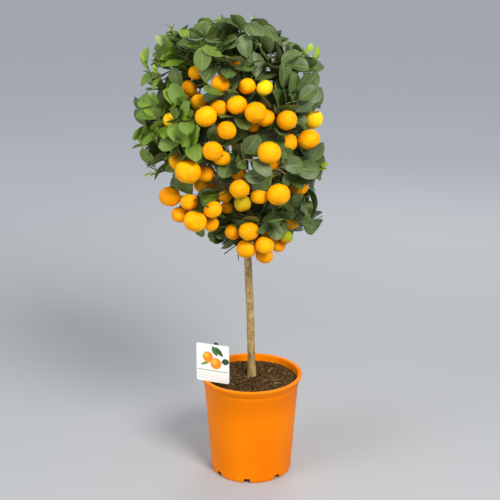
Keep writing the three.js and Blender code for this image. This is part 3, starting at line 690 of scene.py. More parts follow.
def leafGrower():
    g = Grower("leafy sprig", {"Petiole Share": leafShape["petiole"], "Petiole Radius": leafShape["neck"],
                               "Leaf Thickness": leafShape["thickness"], "Rows": leafShape["rows"],
                               "Columns": leafShape["columns"], "Twig Sides": 7, "Leaf Finish": None,
                               "Twig Finish": None})
    grid = {"Size X": 1.0, "Size Y": 1.0, "Vertices X": g.given("Columns"), "Vertices Y": g.given("Rows")}
    sheets = []
    for under in (0, 1):
        sheet = g.node("GeometryNodeMeshGrid", None, grid, "Mesh")
        x, y, _ = g.spot()
        sheet = g.mapped(sheet, "leafMap", g.vector(x + 0.5 + 2.0 * under, y + 0.5, 0.0))
        if under:
            sheet = g.node("GeometryNodeFlipFaces", None, {"Mesh": sheet})
        sheets.append(sheet)
    both = g.node("GeometryNodeJoinGeometry", None, {"Geometry": sheets})
    leaves = g.placed(g.pointsOf("leafHere"), both)

    mapX, v, _ = g.parts(g.own("leafMap", "FLOAT_VECTOR"))
    under = mapX > 1.5
    u = mapX - 2.0 * under
    long, broad = g.own("long"), g.own("broad")
    fromRib = abs(u - 0.5) * 2.0
    side = (u - 0.5) * 2.0
    share = g.given("Petiole Share")
    s = ((v - share) / (1.0 - share)).maths("MAXIMUM", 0.0)
    swell = ((s ** g.own("lead")) * math.pi).maths("SINE").maths("MAXIMUM", 0.0) ** 0.54
    neck = g.given("Petiole Radius") * (1.0 - v ** 8.0)
    half = neck + (broad - neck) * swell
    fullness = (v * math.pi).maths("SINE").maths("MAXIMUM", 0.0) ** 0.35
    thick = g.given("Leaf Thickness") * (1.0 - fromRib ** 2.0) * fullness
    ripple = ((v * 9.0 + g.own("phase")).maths("SINE")) * (side * 0.6 + 0.4) * g.own("wave")
    lift = half * (g.own("fold") * fromRib ** 1.3 + ripple * fromRib ** 2.0) + thick * (0.5 - under)
    bend = g.own("curl")
    angle = bend * v
    along = long * angle.maths("SINE") / bend
    drop = long * (1.0 - angle.maths("COSINE")) / bend
    twist = g.own("twist") * v
    out = half * side
    forward = along + lift * angle.maths("SINE")
    upward = lift * angle.maths("COSINE") - drop + out * twist.maths("SINE")
    place = g.total(g.own("base", "FLOAT_VECTOR"),
                    g.scaled(g.own("ahead", "FLOAT_VECTOR"), forward),
                    g.scaled(g.own("across", "FLOAT_VECTOR"), out * twist.maths("COSINE")),
                    g.scaled(g.own("up", "FLOAT_VECTOR"), upward))
    leaves = g.moved(leaves, place)
    leaves = g.node("GeometryNodeMergeByDistance", None, {"Geometry": leaves, "Distance": 0.00002})
    leaves = g.node("GeometryNodeSetShadeSmooth", {"domain": "FACE"},
                    {"Geometry": leaves, "Shade Smooth": True})
    sharp = g.node("GeometryNodeInputMeshEdgeAngle") > 1.0
    leaves = g.node("GeometryNodeSetShadeSmooth", {"domain": "EDGE"},
                    {"Geometry": leaves, "Selection": sharp, "Shade Smooth": False})
    g.end(g.painted(leaves, "Leaf Finish"), g.tubes(g.given("Twig Sides"), "Twig Finish"))
    return g


fruitShape = {"segments": 28, "rings": 16, "flatness": 0.93, "dimple": 0.07, "calyx": 0.27}


def fruitGrower():
    g = Grower("fruit bunch", {"Segments": fruitShape["segments"], "Rings": fruitShape["rings"],
                               "Flatness": fruitShape["flatness"], "Dimple": fruitShape["dimple"],
                               "Calyx Share": fruitShape["calyx"], "Stalk Sides": 8, "Peel": None,
                               "Calyx": None, "Stalk": None})
    ball = g.nodeTree.nodes.new("GeometryNodeMeshUVSphere")
    g.feed(ball, "Segments", g.given("Segments"))
    g.feed(ball, "Rings", g.given("Rings"))
    x, y, z = g.spot()
    body = g.mapped(Wire(g, ball.outputs["Mesh"]), "peelMap", g.vector(x * 0.5 + 0.5, z * 0.5 + 0.5, 0.0))
    dimple = g.given("Dimple") * (z.ramp(0.80, 1.0) + (-z).ramp(0.86, 1.0) * -0.7)
    shaped = g.vector(x, y, z * g.given("Flatness") - dimple)
    body = g.moved(body, shaped)
    points = g.pointsOf("fruitHere")
    turned, size = g.own("turned", "FLOAT_VECTOR"), g.own("size")
    body = g.placed(points, body, turned, size)
    body = g.lumpy(body, 70.0, 1.0, 0.0022)

    star = g.node("GeometryNodeMeshUVSphere", None, {"Segments": 20, "Rings": 6, "Radius": 1.0}, "Mesh")
    x, y, z = g.spot()
    point = g.node("ShaderNodeMath", {"operation": "ARCTAN2"}, {0: y, 1: x})
    lobe = g.given("Calyx Share") * (1.0 + 0.34 * (point * 5.0).maths("COSINE"))
    away = x * x + y * y
    rise = g.given("Flatness") - g.given("Dimple") * (1.0 - 0.75 * away) + 0.045 * z + 0.02
    star = g.placed(points, g.moved(star, g.vector(x * lobe, y * lobe, rise)), turned, size)
    branches = []
    for geometry, finish in ((body, "Peel"), (star, "Calyx")):
        values = {"Geometry": geometry, "Shade Smooth": True}
        smooth = g.node("GeometryNodeSetShadeSmooth", {"domain": "FACE"}, values)
        branches.append(g.painted(smooth, finish))
    g.end(*branches, g.tubes(g.given("Stalk Sides"), "Stalk"))
    return g


def crumbGrower():
    g = Grower("soil bits", {"Density": 9000.0, "Smallest": 0.0008, "Largest": 0.0026, "Flatness": 0.7,
                             "Length": 1.0, "Seed": 4, "Finish": None})
    spread = {"Mesh": g.given(), "Density": g.given("Density"), "Seed": g.given("Seed")}
    points = g.node("GeometryNodeDistributePointsOnFaces", None, spread, "Points")
    bit = g.node("GeometryNodeMeshIcoSphere", None, {"Radius": 1.0, "Subdivisions": 2}, "Mesh")
    x, y, z = g.spot()
    bit = g.moved(bit, g.vector(x * g.given("Length"), y, z * g.given("Flatness")))
    limits = {"Min_001": g.given("Smallest"), "Max_001": g.given("Largest"), "Seed": g.given("Seed")}
    size = g.node("FunctionNodeRandomValue", {"data_type": "FLOAT"}, limits, "Value")
    turn = g.node("FunctionNodeRandomValue", {"data_type": "FLOAT_VECTOR"},
                  {"Min": (-0.5, -0.5, 0.0), "Max": (0.5, 0.5, 6.3), "Seed": g.given("Seed")}, "Value")
    bits = g.lumpy(g.placed(points, bit, turn, size), 420.0, 0.0, g.given("Largest") * 1.6)
    g.end(g.painted(bits, "Finish"))
    return g


def inputMesh(name, places, edges, values):
    # points and edges with named values on the points, which the trees read
    mesh = bpy.data.meshes.new(name)
    mesh.from_pydata([tuple(p) for p in places], edges, [])
    for key, row in values.items():
        kinds = {bool: ("BOOLEAN", "value"), float: ("FLOAT", "value")}
        kind, field = kinds.get(type(row[0]), ("FLOAT_VECTOR", "vector"))
        flat = [c for vector in row for c in vector] if field == "vector" else row
        mesh.attributes.new(key, kind, "POINT").data.foreach_set(field, flat)
    return mesh


finishes = {"peel": peel(), "calyx": calyxGreen(), "leaf": leafGreen(), "twig": twigGreen()}
growers = {"leaf": leafGrower(), "fruit": fruitGrower(), "crumb": crumbGrower()}
stage("finishes and growing trees made")


fruitLook = {
    "stalk": 0.0010, "stalkEnd": 0.0014,
    "gold": ("fruit_bunch_yellow_left", "fruit_bunch_right_three", "fruit_bunch_top_right"),
    "turning": {  # a bunch: the diameter of its unripe fruit, and how ripe that is
        "fruit_bunch_right_hanging": (0.024, 0.0), "fruit_bunch_centre": (0.030, 0.06),
    },
}


def growFruit(name, rng):
    places, edges = middleLines(name)
    spread = fruitLook["stalkEnd"] - fruitLook["stalk"]
    thick = [fruitLook["stalk"] + spread * rng.random() for _ in places]
    values = {"thick": thick, "fruitHere": [False] * len(places), "size": [1.0] * len(places),
              "ripeness": [0.5] * len(places), "turned": [(0.0, 0.0, 0.0)] * len(places)}
    stalkPoints = range(len(places))
    diameter, unripe = fruitLook["turning"].get(name, (0, 0))
    for fruit in bunches[name]:
        centre, radius = fruit["centre"], fruit["radius"]
        joint = min(stalkPoints, key=lambda k: abs((places[k] - centre).length - radius))
        top = ((places[joint] - centre).normalized() + Vector((0, -0.15, 1.7))).normalized()
        places[joint] = centre + top * radius * (fruitShape["flatness"] - fruitShape["dimple"])
        values["thick"][joint] = fruitLook["stalkEnd"]
        ripeness = rng.uniform(0.25, 0.62)
        if name in fruitLook["gold"] and fruit is max(bunches[name], key=lambda one: one["centre"].x):
            ripeness = 0.95
        if abs(2 * radius - diameter) < 0.0006:
            ripeness, diameter = unripe, 0
        places.append(centre)
        turn = top.to_track_quat("Z", "Y").to_euler()
        for key, value in (("thick", 0.001), ("fruitHere", True), ("size", radius), ("ripeness", ripeness),
                           ("turned", tuple(turn))):
            values[key].append(value)
    mesh = inputMesh(name, places, edges, values)
    made = growers["fruit"].grow(name.replace("fruit_bunch", "fruit"), mesh, Peel=finishes["peel"],
                                 Calyx=finishes["calyx"], Stalk=finishes["twig"])
    settle(made, name, slot="fruit_peel")


for number, name in enumerate(bunchNodes):
    growFruit(name, random.Random(100 + number))
stage("fruit grown")


leafLook = {
    "width": 0.30,  # half width, of the blade's length
    "twig": 0.0010, "branchlet": 0.0016, "taper": 0.007,  # a branchlet thins by this share of its length
    "shell": {"most": 400, "spacing": 0.0180, "length": (0.041, 0.056)},
    "inner": {"most": 340, "spacing": 0.0150, "length": (0.038, 0.052)},
    "innerDepth": 0.70,  # of the crown's reach
    "shoot": (0.026, 0.055), "step": 0.0125,
    "beyond": 0.003,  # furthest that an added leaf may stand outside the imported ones
    "pale": -0.045,  # left of this the leaves are painted fresher and lighter: partly young growth, partly painted light on the crown's left side
    "clear": 0.004,  # of a fruit's skin
    "young": {
        "most": 120, "leaves": 5, "stem": (0.016, 0.034), "length": (0.008, 0.017), "room": 0.008,
        "slim": 0.72, "depth": 0.84,
    },
}
leafRng = random.Random(7)
fruitTree = KDTree(len(allFruit))
for i, fruit in enumerate(allFruit):
    fruitTree.insert(fruit["centre"], i)
fruitTree.balance()
towardsFront = Vector((0, -0.95, 0.3))
shootSteps = (0, 0.33, 0.66, 1.0)


def middleOf(leaf):
    return leaf["base"] + leaf["direction"] * leaf["length"] * 0.55


def tipOf(leaf):
    return leaf["base"] + leaf["direction"] * leaf["length"]


packedSpots = [middleOf(leaf) for leaf in packedLeaves] + [tipOf(leaf) for leaf in packedLeaves]
packedSpots += [fruit["centre"] for fruit in allFruit]
crownCloud = np.array([tuple(spot - crownMiddle) for spot in packedSpots])
crownReach = np.linalg.norm(crownCloud, axis=1)
taken = [middleOf(leaf) for leaf in packedLeaves]


def outwardAt(place):
    return (place - crownMiddle).normalized()


def reachTowards(out):
    # how far from the crown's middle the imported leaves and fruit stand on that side
    ahead = crownCloud @ np.array(out)
    near = ahead > 0.955 * crownReach
    return float(ahead[near].max()) if near.any() else 0.0


def depthAt(place):
    # 0 at the crown's middle and 1 at its outside
    return (place - crownMiddle).length / max(0.01, reachTowards(outwardAt(place)))


def inFruit(place, margin):
    for _, i, away in fruitTree.find_range(place, 0.03):
        if away < allFruit[i]["radius"] + margin:
            return True
    return False


def hidesFruit(leaf):
    # whether a blade touches a fruit, or stands before the middle of one seen from outside or in front
    for share in (0.3, 0.6, 0.9):
        spot = leaf["base"] + leaf["direction"] * leaf["length"] * share
        if inFruit(spot, leafLook["clear"]):
            return True
        for centre, i, _ in fruitTree.find_range(spot, 0.09):
            views = [outwardAt(centre)]
            if centre.y < crownMiddle.y:
                views.append(towardsFront)
            for out in views:
                ahead = (spot - centre).dot(out)
                if ahead > 0 and ((spot - centre) - out * ahead).length < allFruit[i]["radius"] * 0.95:
                    return True
    return False


def youthAndLightAt(place, rng):
    # a leaf's freshness: young growth at random, plus painted light that makes leaves on the crown's left and
    # front a lighter green
    side = min(1, max(0, (leafLook["pale"] - place.x) / 0.03))
    front = 1.0 if place.y < 0.04 else 0.5
    return min(0.78, max(0.0, side * front * rng.uniform(0.35, 0.8) + rng.uniform(-0.1, 0.3)))


def facingLight(leaf, rng):
    # a leaf rolls on its stalk until its face looks out of the crown and up
    scatter = Vector([rng.uniform(-0.38, 0.38) for _ in range(3)])
    light = outwardAt(middleOf(leaf)) + Vector((0, 0, 0.45)) + scatter
    direction = leaf["direction"]
    leaf["normal"] = (light - direction * light.dot(direction)).normalized()
    return leaf


def roomFor(leaf, kind, spare=0.002):
    middle, tip = middleOf(leaf), tipOf(leaf)
    if any(not crownLow[k] - spare < tip[k] < crownHigh[k] + spare for k in range(3)):
        return False
    if any((middle - spot).length < kind["spacing"] for spot in taken):
        return False
    for spot in (middle, tip):
        if (spot - crownMiddle).length > reachTowards(outwardAt(spot)) + leafLook["beyond"]:
            return False
    return not hidesFruit(leaf)


def growShoot(start, kind, rng):
    # a short twig that lies along the crown's outside, with leaves to either side and one at its end
    out = outwardAt(start)
    along = Matrix.Rotation(rng.uniform(0, 2 * math.pi), 3, out) @ out.orthogonal().normalized()
    lead = (along * 0.8 + out * 0.5 + Vector((0, 0, 0.3))).normalized()
    side = lead.cross(out).normalized()
    length = rng.uniform(*leafLook["shoot"])
    bow = side * rng.uniform(-0.12, 0.12) * length
    path = [start + lead * length * t + bow * math.sin(math.pi * t) for t in shootSteps]
    if any(inFruit(place, 0.002) for place in path):
        return None
    leaves = []
    count = max(3, int(length / leafLook["step"]) + 1)
    for k in range(count):
        share = 1.0 - k / count * 0.85
        seat = path[0].lerp(path[-1], share) + bow * math.sin(math.pi * share)
        pitch = 0.15 if k == 0 else rng.uniform(0.7, 1.05)
        hand = 1 if k % 2 else -1
        direction = lead * math.cos(pitch) + side * hand * math.sin(pitch) + out * rng.uniform(-0.1, 0.35)
        leaf = {"base": seat, "direction": direction.normalized(), "length": rng.uniform(*kind["length"])}
        if roomFor(facingLight(leaf, rng), kind):
            leaves.append(leaf)
            taken.append(middleOf(leaf))
    return (path, leaves) if leaves else None


def growYoung(start, rng):
    # a new shoot: a thin stem with a few small bright leaves
    look = leafLook["young"]
    scatter = Vector([rng.uniform(-0.5, 0.5), rng.uniform(-0.5, 0.5), rng.uniform(0.2, 1.0)])
    lead = (outwardAt(start) + scatter).normalized()
    side = lead.orthogonal().normalized()
    length = rng.uniform(*look["stem"])
    path = [start + lead * length * t + side * 0.1 * length * math.sin(2.2 * t) for t in shootSteps]
    if any(inFruit(place, leafLook["clear"]) for place in path):
        return None
    leaves = []
    for k in range(look["leaves"]):
        around = Matrix.Rotation(k * 2.4, 3, lead) @ side
        pitch = 0.1 if k == 0 else 0.55 + 0.12 * k
        direction = (lead * math.cos(pitch) + around * math.sin(pitch)).normalized()
        size = rng.uniform(*look["length"]) * (1.25 if k == 0 else 1.0)
        seat = path[-1].lerp(path[1], 0.22 * k)
        leaf = {"base": seat, "direction": direction, "length": size, "youth": 1.0}
        leaves.append(facingLight(leaf, rng))
    if any(not crownLow[a] - look["room"] < tipOf(leaf)[a] < crownHigh[a] + look["room"]
           for leaf in leaves for a in range(3)):
        return None
    return None if any(hidesFruit(leaf) for leaf in leaves) else (path, leaves)


stems = {}
for name in sprigNodes:
    leaves, start = sprigs[name]
    places, edges = middleLines(name)
    distance = distancesFrom(start, places, edges)
    for leaf in leaves:
        seat = min(places, key=lambda p: (p - leaf["base"]).length)
        if (seat - leaf["base"]).length > 0.0018:
            tip = tipOf(leaf)
            leaf["base"], leaf["direction"] = seat, (tip - seat).normalized()
            leaf["length"] = (tip - seat).length
        facingLight(leaf, leafRng)
    stems[name] = {"places": places, "edges": edges, "distance": distance, "leaves": leaves}


def shootSeats():
    # where a shoot may start: on the twigs, on the fruit stalks and on the limbs
    seats = []
    for name in sprigNodes:
        s = stems[name]
        seats += [(name, place) for i, place in enumerate(s["places"]) if s["distance"].get(i, 0) > 0.012]
    sprigMiddles = {name: sum(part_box(name), Vector()) / 2 for name in sprigNodes}
    bare = [corner for corner in woodCorners if corner.z > crownLow.z + 0.02]
    bare = leafRng.sample(bare, min(len(bare), 700))
    for name in bunchNodes:
        bare += [place for place in middleLines(name)[0] if not inFruit(place, 0.001)]
    for place in bare:
        seats.append((min(sprigNodes, key=lambda n: (sprigMiddles[n] - place).length), place))
    leafRng.shuffle(seats)
    return seats


def addShoot(name, path, leaves):
    s = stems[name]
    first = len(s["places"])
    s["places"].extend(path)
    s["edges"].extend((first + k, first + k + 1) for k in range(len(path) - 1))
    s["leaves"].extend(leaves)
    return len(leaves)


def addLeaves():
    # more leaves wherever the crown has room: on its outside, then inside, then new shoots
    seats = shootSeats()
    added = {"shell": 0, "inner": 0, "young": 0}
    for layer in ("shell", "inner"):
        kind = leafLook[layer]
        for name, place in seats * 2:
            isOuter = depthAt(place) > leafLook["innerDepth"]
            if added[layer] < kind["most"] and isOuter == (layer == "shell"):
                shoot = growShoot(place, kind, leafRng)
                if shoot:
                    added[layer] += addShoot(name, *shoot)
    for name, place in seats:
        if added["young"] < leafLook["young"]["most"] and depthAt(place) > leafLook["young"]["depth"]:
            shoot = growYoung(place, leafRng)
            if shoot:
                added["young"] += addShoot(name, *shoot)
    return added


def growLeaves(name, rng):
    s = stems[name]
    places = list(s["places"])
    count = len(places)
    blank = {"base": (0.0, 0.0, 0.0), "ahead": (1.0, 0.0, 0.0), "across": (0.0, 1.0, 0.0),
             "up": (0.0, 0.0, 1.0), "long": 0.04, "broad": 0.01, "fold": 0.1, "curl": 0.3, "twist": 0.0,
             "wave": 0.0, "phase": 0.0, "lead": 1.0, "youth": 0.0, "leafHere": False}
    values = {key: [value] * count for key, value in blank.items()}
    away = [s["distance"].get(i, 0.08) for i in range(count)]
    values["thick"] = [max(leafLook["twig"], leafLook["branchlet"] - one * leafLook["taper"]) for one in away]
    for leaf in s["leaves"]:
        direction, normal, length = leaf["direction"], leaf["normal"], leaf["length"]
        curl = rng.uniform(0.12, 0.75)
        youth = leaf.get("youth") or youthAndLightAt(middleOf(leaf), rng)
        slim = leafLook["young"]["slim"] if leaf.get("youth") else 1.0
        tilt = Matrix.Rotation(-curl / 2, 3, normal.cross(direction))
        row = {"base": tuple(leaf["base"]), "ahead": tuple(tilt @ direction), "up": tuple(tilt @ normal),
               "across": tuple(direction.cross(normal)), "long": length,
               "broad": length * leafLook["width"] * rng.uniform(0.88, 1.14) * slim,
               "fold": rng.uniform(0.04, 0.42),
               "curl": curl, "twist": rng.uniform(-0.45, 0.45), "wave": rng.uniform(0.02, 0.10),
               "phase": rng.uniform(0, 6.28), "lead": rng.uniform(0.95, 1.2), "youth": youth,
               "leafHere": True, "thick": 0.001}
        places.append(leaf["base"])
        for key, value in row.items():
            values[key].append(value)
    mesh = inputMesh(name, places, s["edges"], values)
    made = growers["leaf"].grow(name.replace("leafy_sprig", "leaves"), mesh, Leaf_Finish=finishes["leaf"],
                                Twig_Finish=finishes["twig"])
    settle(made, name, slot="leaf_blade")
    return len(s["leaves"])


stage(f"leaves that found room: {addLeaves()}")
leafCount = sum(growLeaves(name, random.Random(500 + number)) for number, name in enumerate(sprigNodes))
stage(f"{leafCount} leaves grown")


barkLook = {"voxel": 0.0013, "smooth": 3, "ridge": 0.0005, "knob": 0.0006}


def growWood():
    bm = bmesh.new()
    bm.from_mesh(woodMesh)
    bmesh.ops.remove_doubles(bm, verts=bm.verts, dist=1e-6)
    made = built("stem_and_branches", bm)
    remesh = made.modifiers.new("remesh", "REMESH")
    remesh.mode = "VOXEL"
    remesh.voxel_size = barkLook["voxel"]
    smooth = made.modifiers.new("smooth", "SMOOTH")
    smooth.factor = 0.5
    smooth.iterations = barkLook["smooth"]
    made = baked(made)
    mesh = made.data
    moved = []
    for v in mesh.vertices:
        ridge = noise.fractal(Vector((v.co.x * 520, v.co.y * 520, v.co.z * 90)), 0.6, 2.0, 3)
        knob = noise.noise(v.co * 60)
        moved.extend(v.co + v.normal * (ridge * barkLook["ridge"] + knob * barkLook["knob"]))
    mesh.vertices.foreach_set("co", moved)
    mesh.materials.clear()
    mesh.materials.append(bark())
    mesh.polygons.foreach_set("use_smooth", [True] * len(mesh.polygons))
    settle(made, "trunk_and_branches", slot="bark")


growWood()
stage("stem and branches made")


soilLook = {
    "rings": 46, "segments": 120, "swell": 0.0022, "grain": 0.0020, "sunk": 0.0022,
    "clear": 0.0045,  # of the pot's wall, for loose bits
}
soilLevel = soilHigh.z - soilLook["sunk"]
soilRadius = min(soilHigh.x, soilHigh.y)


def growSoil():
    profile = [(0, soilLow.z), (soilRadius * 0.86, soilLow.z), (soilRadius, soilLevel - 0.001)]
    rings = soilLook["rings"]
    profile += [(soilRadius * (1 - k / rings), soilLevel) for k in range(1, rings + 1)]
    verts, faces = closedLathe(profile, soilLook["segments"])
    shaped = []
    for x, y, z in verts:
        if z > soilLevel - 0.0005:
            place = Vector((x, y, 0))
            grain = noise.fractal(place * 260, 0.5, 2.1, 4) * soilLook["grain"]
            z += noise.noise(place * 38) * soilLook["swell"] + grain
        shaped.append((x, y, z))
    crumbs, bits = soilCrumb(), chipBark()
    bed = meshPiece("soil_bed", shaped, faces, crumbs)
    facingOut(bed)
    reach = soilRadius - soilLook["clear"]
    upper = [face for face in faces
             if all(shaped[v][2] > soilLevel - 0.005 and math.hypot(*shaped[v][:2]) < reach for v in face)]
    level = meshPiece("soil_level", shaped, upper, crumbs)
    facingOut(level)
    grow = growers["crumb"].grow
    loose = grow("soil_crumbs", level.data.copy(), Finish=crumbs, Density=15000.0, Largest=0.0036)
    chips = grow("bark_chips", level.data.copy(), Finish=bits, Density=3200.0, Smallest=0.0011,
                 Largest=0.0032, Flatness=0.38, Length=2.3, Seed=11)
    bpy.data.objects.remove(level)
    for piece in (bed, loose, chips):
        settle(piece, "soil", slot="potting_soil")


growSoil()
stage("soil laid")


potLook = {
    "height": rimHeight, "rim": rimRadius, "base": 0.075, "wall": 0.0016, "lip": 0.012, "lipOut": 0.006,
    "bead": 0.0016, "floor": 0.010, "foot": 0.020, "notches": 8, "notchWidth": 0.015, "notchHeight": 0.009,
    "notchCorner": 0.0012, "notchTurn": 39, "drain": 0.0045, "drainCircle": 0.056, "segments": 160,
}


def arc(cx, cz, radius, fromDegrees, toDegrees, steps=5):
    turns = [math.radians(fromDegrees + (toDegrees - fromDegrees) * k / steps) for k in range(steps + 1)]
    return [(cx + radius * math.cos(a), cz + radius * math.sin(a)) for a in turns]


def growPot():
    p = potLook
    top, bead = p["height"], p["bead"]
    bodyTop = p["rim"] - p["lipOut"]

    def outer(z):
        return p["base"] + (bodyTop - p["base"]) * z / top

    def inner(z):
        return outer(z) - p["wall"]

    lipLow = top - p["lip"]
    profile = [(0, 0), (p["foot"], 0), (p["foot"], p["floor"])]
    profile += [(inner(p["floor"]), p["floor"]), (inner(0.001), 0.0003)]
    profile += arc(outer(0) - bead, bead, bead, -90, 0)
    profile += [(outer(0.004), 0.004), (outer(0.0045) + 0.0003, 0.0045)]
    profile += [(outer(z), z) for z in (p["notchHeight"] + 0.003, lipLow * 0.35, lipLow * 0.7)]
    profile += [(outer(lipLow - 0.012), lipLow - 0.012), (outer(lipLow - 0.0115) + 0.0006, lipLow - 0.011)]
    profile += [(outer(lipLow) + 0.0006, lipLow)]
    profile += arc(outer(lipLow) + 0.0018, lipLow + 0.0008, 0.0008, -90, -30, 3)
    profile += arc(p["rim"] - bead, top - bead, bead, -30, 90, 7)
    profile += [(inner(top) + bead, top)]
    profile += arc(inner(top) + bead, top - bead, bead, 90, 180)
    profile += [(inner(top - 0.02), top - 0.02), (inner(0.0116), 0.0116), (0, 0.0116)]
    verts, faces = closedLathe(profile, p["segments"])
    pot = meshPiece("nursery_pot", verts, faces, potPlastic())
    facingOut(pot)
    cutter = bmesh.new()
    corner = p["notchCorner"]
    for k in range(p["notches"]):
        turn = Matrix.Rotation(math.radians(p["notchTurn"]) + k * 2 * math.pi / p["notches"], 4, "Z")
        half, taper, high = p["notchWidth"] / 2, p["notchWidth"] * 0.36, p["notchHeight"]
        face = [(-half, -0.002), (half, -0.002)]
        face += arc(taper - corner, high - corner, corner, 10, 90, 3)
        face += arc(-taper + corner, high - corner, corner, 90, 170, 3)
        through = (outer(0) - 0.009, outer(0) + 0.006)
        rings = [[cutter.verts.new(turn @ Vector((x, y, z))) for y, z in face] for x in through]
        cutter.faces.new(rings[0])
        cutter.faces.new(reversed(rings[1]))
        for i in range(len(face)):
            n = (i + 1) % len(face)
            cutter.faces.new((rings[0][n], rings[0][i], rings[1][i], rings[1][n]))
        drain = turn @ Matrix.Translation((p["drainCircle"], 0, p["floor"]))
        bmesh.ops.create_cone(cutter, cap_ends=True, segments=20, radius1=p["drain"], radius2=p["drain"],
                              depth=0.008, matrix=drain)
    bmesh.ops.recalc_face_normals(cutter, faces=cutter.faces)
    tool = built("cutter", cutter)
    cut = pot.modifiers.new("cut", "BOOLEAN")
    cut.operation = "DIFFERENCE"
    cut.solver = "EXACT"
    cut.object = tool
    pot = baked(pot)
    bpy.data.objects.remove(tool)
    smoothByAngle(pot, 32)
    settle(pot, "pot", slot="pot_plastic")


growPot()
stage("pot made")


cardSize = {}
cardLook = {"columns": 16, "rows": 18, "corner": 0.00075, "bow": 0.0006, "stakePoint": 0.014}


def labelFrame():
    # the card's right-hand and forward directions and its middle, from its packed corners
    corners = np.array([tuple(v.co) for v in nodes["label_card"].data.vertices])
    flat = corners[:, :2] - corners[:, :2].mean(0)
    along = np.linalg.eigh(flat.T @ flat)[1][:, 1]
    right = Vector((along[0], along[1], 0))
    if right.x < 0:
        right.negate()
    ahead = Vector((right.y, -right.x, 0))
    middle = Vector(corners.mean(0))
    cardLow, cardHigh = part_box("label_card")
    spread = [(Vector(c) - middle).dot(right) for c in corners]
    depth = [(Vector(c) - middle).dot(ahead) for c in corners]
    cardSize.update(width=max(spread) - min(spread), height=cardHigh.z - cardLow.z)
    cardSize["thick"] = max(depth) - min(depth)
    middle = middle + right * (max(spread) + min(spread)) / 2 + ahead * (max(depth) + min(depth)) / 2
    middle.z = (cardLow.z + cardHigh.z) / 2
    return right, ahead, middle


def growCard(right, ahead, middle):
    columns, rows, thick = cardLook["columns"], cardLook["rows"], cardSize["thick"]
    verts, uvs, faces = [], [], []
    for face in (1, -1):
        for j in range(rows + 1):
            for i in range(columns + 1):
                u, v = i / columns, j / rows
                x, z = (u - 0.5) * cardSize["width"], (v - 0.5) * cardSize["height"]
                if i in (0, columns) and j in (0, rows):
                    x -= math.copysign(cardLook["corner"], x)
                    z -= math.copysign(cardLook["corner"], z)
                bow = cardLook["bow"] * (math.cos(math.pi * (u - 0.5)) - 0.5)
                verts.append(middle + right * x + Vector((0, 0, z)) + ahead * (face * thick / 2 + bow))
                uvs.append((u, v if face > 0 else -0.6 - 0.1 * v))
    layer = (rows + 1) * (columns + 1)
    for j in range(rows):
        for i in range(columns):
            a = j * (columns + 1) + i
            quad = (a, a + 1, a + columns + 2, a + columns + 1)
            faces.append(quad)
            faces.append(tuple(layer + k for k in reversed(quad)))
    across = columns + 1
    rim = list(range(columns)) + [k * across + columns for k in range(rows)]
    rim += [rows * across + k for k in range(columns, 0, -1)] + [k * across for k in range(rows, 0, -1)]
    for k, a in enumerate(rim):
        b = rim[(k + 1) % len(rim)]
        faces.append((b, a, layer + a, layer + b))
    card = meshPiece("label_picture_card", verts, faces, cardPrint())
    spots = card.data.uv_layers.new(name="cardMap").data
    for loop in card.data.loops:
        spots[loop.index].uv = uvs[loop.vertex_index]
    facingOut(card)
    smoothByAngle(card, 30)
    settle(card, "label_card", slot="label_print")


def growStake(right, ahead):
    stakeCorners = [v.co for v in nodes["label_stake"].data.vertices]
    stakeLow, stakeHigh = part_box("label_stake")
    centre = sum(stakeCorners, Vector()) / len(stakeCorners)
    reach = max(abs((co - centre).dot(right)) for co in stakeCorners)
    deep = max(abs((co - centre).dot(ahead)) for co in stakeCorners)
    shoulder = stakeLow.z + cardLook["stakePoint"]
    outline = [(0, stakeLow.z), (reach, shoulder)]
    outline += arc(0, stakeHigh.z - reach, reach, 0, 180, 14) + [(-reach, shoulder)]
    bm = bmesh.new()
    face = centre + ahead * deep
    front = [bm.verts.new(face + right * x + Vector((0, 0, z - centre.z))) for x, z in outline]
    made = bm.faces.new(front)
    grown = bmesh.ops.extrude_face_region(bm, geom=[made])
    moved = [v for v in grown["geom"] if isinstance(v, bmesh.types.BMVert)]
    bmesh.ops.translate(bm, verts=moved, vec=ahead * -2 * deep)
    bmesh.ops.recalc_face_normals(bm, faces=bm.faces)
    post = built("label_post", bm)
    bevel = post.modifiers.new("edge", "BEVEL")
    bevel.width = 0.0004
    bevel.segments = 3
    bevel.limit_method = "ANGLE"
    post.data.materials.append(stakePlastic())
    post = baked(post)
    smoothByAngle(post, 35)
    settle(post, "label_stake", slot="stake_plastic")


labelRight, labelAhead, labelMiddle = labelFrame()
growCard(labelRight, labelAhead, labelMiddle)
growStake(labelRight, labelAhead)
stage("label made")


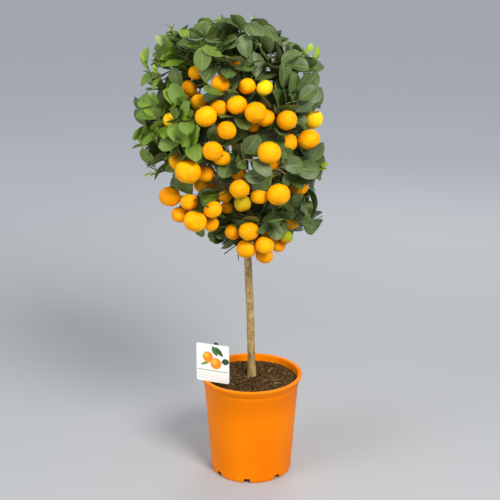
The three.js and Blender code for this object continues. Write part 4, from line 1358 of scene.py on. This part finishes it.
studio = {
    # painted light: the floor's grey runs from darker near the pot to lighter far off, like the falloff on a
    # lit backdrop
    "near": tone(0.68, 0.69, 0.70), "far": tone(0.90, 0.91, 0.93),
    "spread": (0.4, 4.0),  # metres from the pot
    "half": 30.0,
    "sky": (0.90, 0.93, 1.0), "skyStrength": 0.50,
    "lights": (  # place, aim, size in metres, watts, colour
        ((0.85, -1.55, 1.95), (0, 0, 0.50), 0.9, 56.0, (1.0, 0.97, 0.92)),
        ((-1.7, -1.15, 1.35), (0, 0, 0.45), 1.3, 20.0, (0.95, 0.97, 1.0)),
        ((0.5, 1.8, 1.9), (0, 0, 0.50), 1.2, 16.0, (1.0, 0.98, 0.95)),
    ),
}
view = {"place": (0.0, -1.728, 0.9325), "down": 16.29, "sensor": 36.0, "lens": 72.0, "shift": -0.0024}


def setStudio():
    half = studio["half"]
    f = Finish("studio floor", Roughness=0.9, Specular_IOR_Level=0.2)
    away = f.node("ShaderNodeVectorMath", {"operation": "LENGTH"}, {0: f.place}, "Value")
    soft = f.noise(2.0, 2.0)
    # painted light falloff: darker near the pot, lighter far away
    share = away.ramp(*studio["spread"]) + soft * 0.03
    material = f.set(Base_Color=f.mix(share, studio["near"], studio["far"]))
    corners = [(-half, -half, 0), (half, -half, 0), (half, half, 0), (-half, half, 0)]
    floor = meshPiece("studio_floor", corners, [(0, 1, 2, 3)], material, smooth=False)
    world = bpy.data.worlds.new("studio")
    world.use_nodes = True
    background = world.node_tree.nodes["Background"]
    background.inputs["Color"].default_value = (*studio["sky"], 1)
    background.inputs["Strength"].default_value = studio["skyStrength"]
    scene.world = world
    for number, (place, target, size, watts, colour) in enumerate(studio["lights"]):
        lamp = bpy.data.lights.new(f"softbox_{number}", "AREA")
        lamp.shape = "DISK"
        lamp.size = size
        lamp.energy = watts
        lamp.color = colour
        made = linked(lamp.name, lamp)
        made.location = place
        made.rotation_euler = (Vector(target) - Vector(place)).to_track_quat("-Z", "Y").to_euler()
    camera = bpy.data.cameras.new("camera")
    camera.sensor_width = view["sensor"]
    camera.lens = view["lens"]
    camera.shift_x = view["shift"]
    made = linked("camera", camera)
    made.location = view["place"]
    made.rotation_euler = (math.radians(90 - view["down"]), 0, 0)
    scene.camera = made
    scene.view_settings.view_transform = "Standard"


setStudio()
stage("studio set")
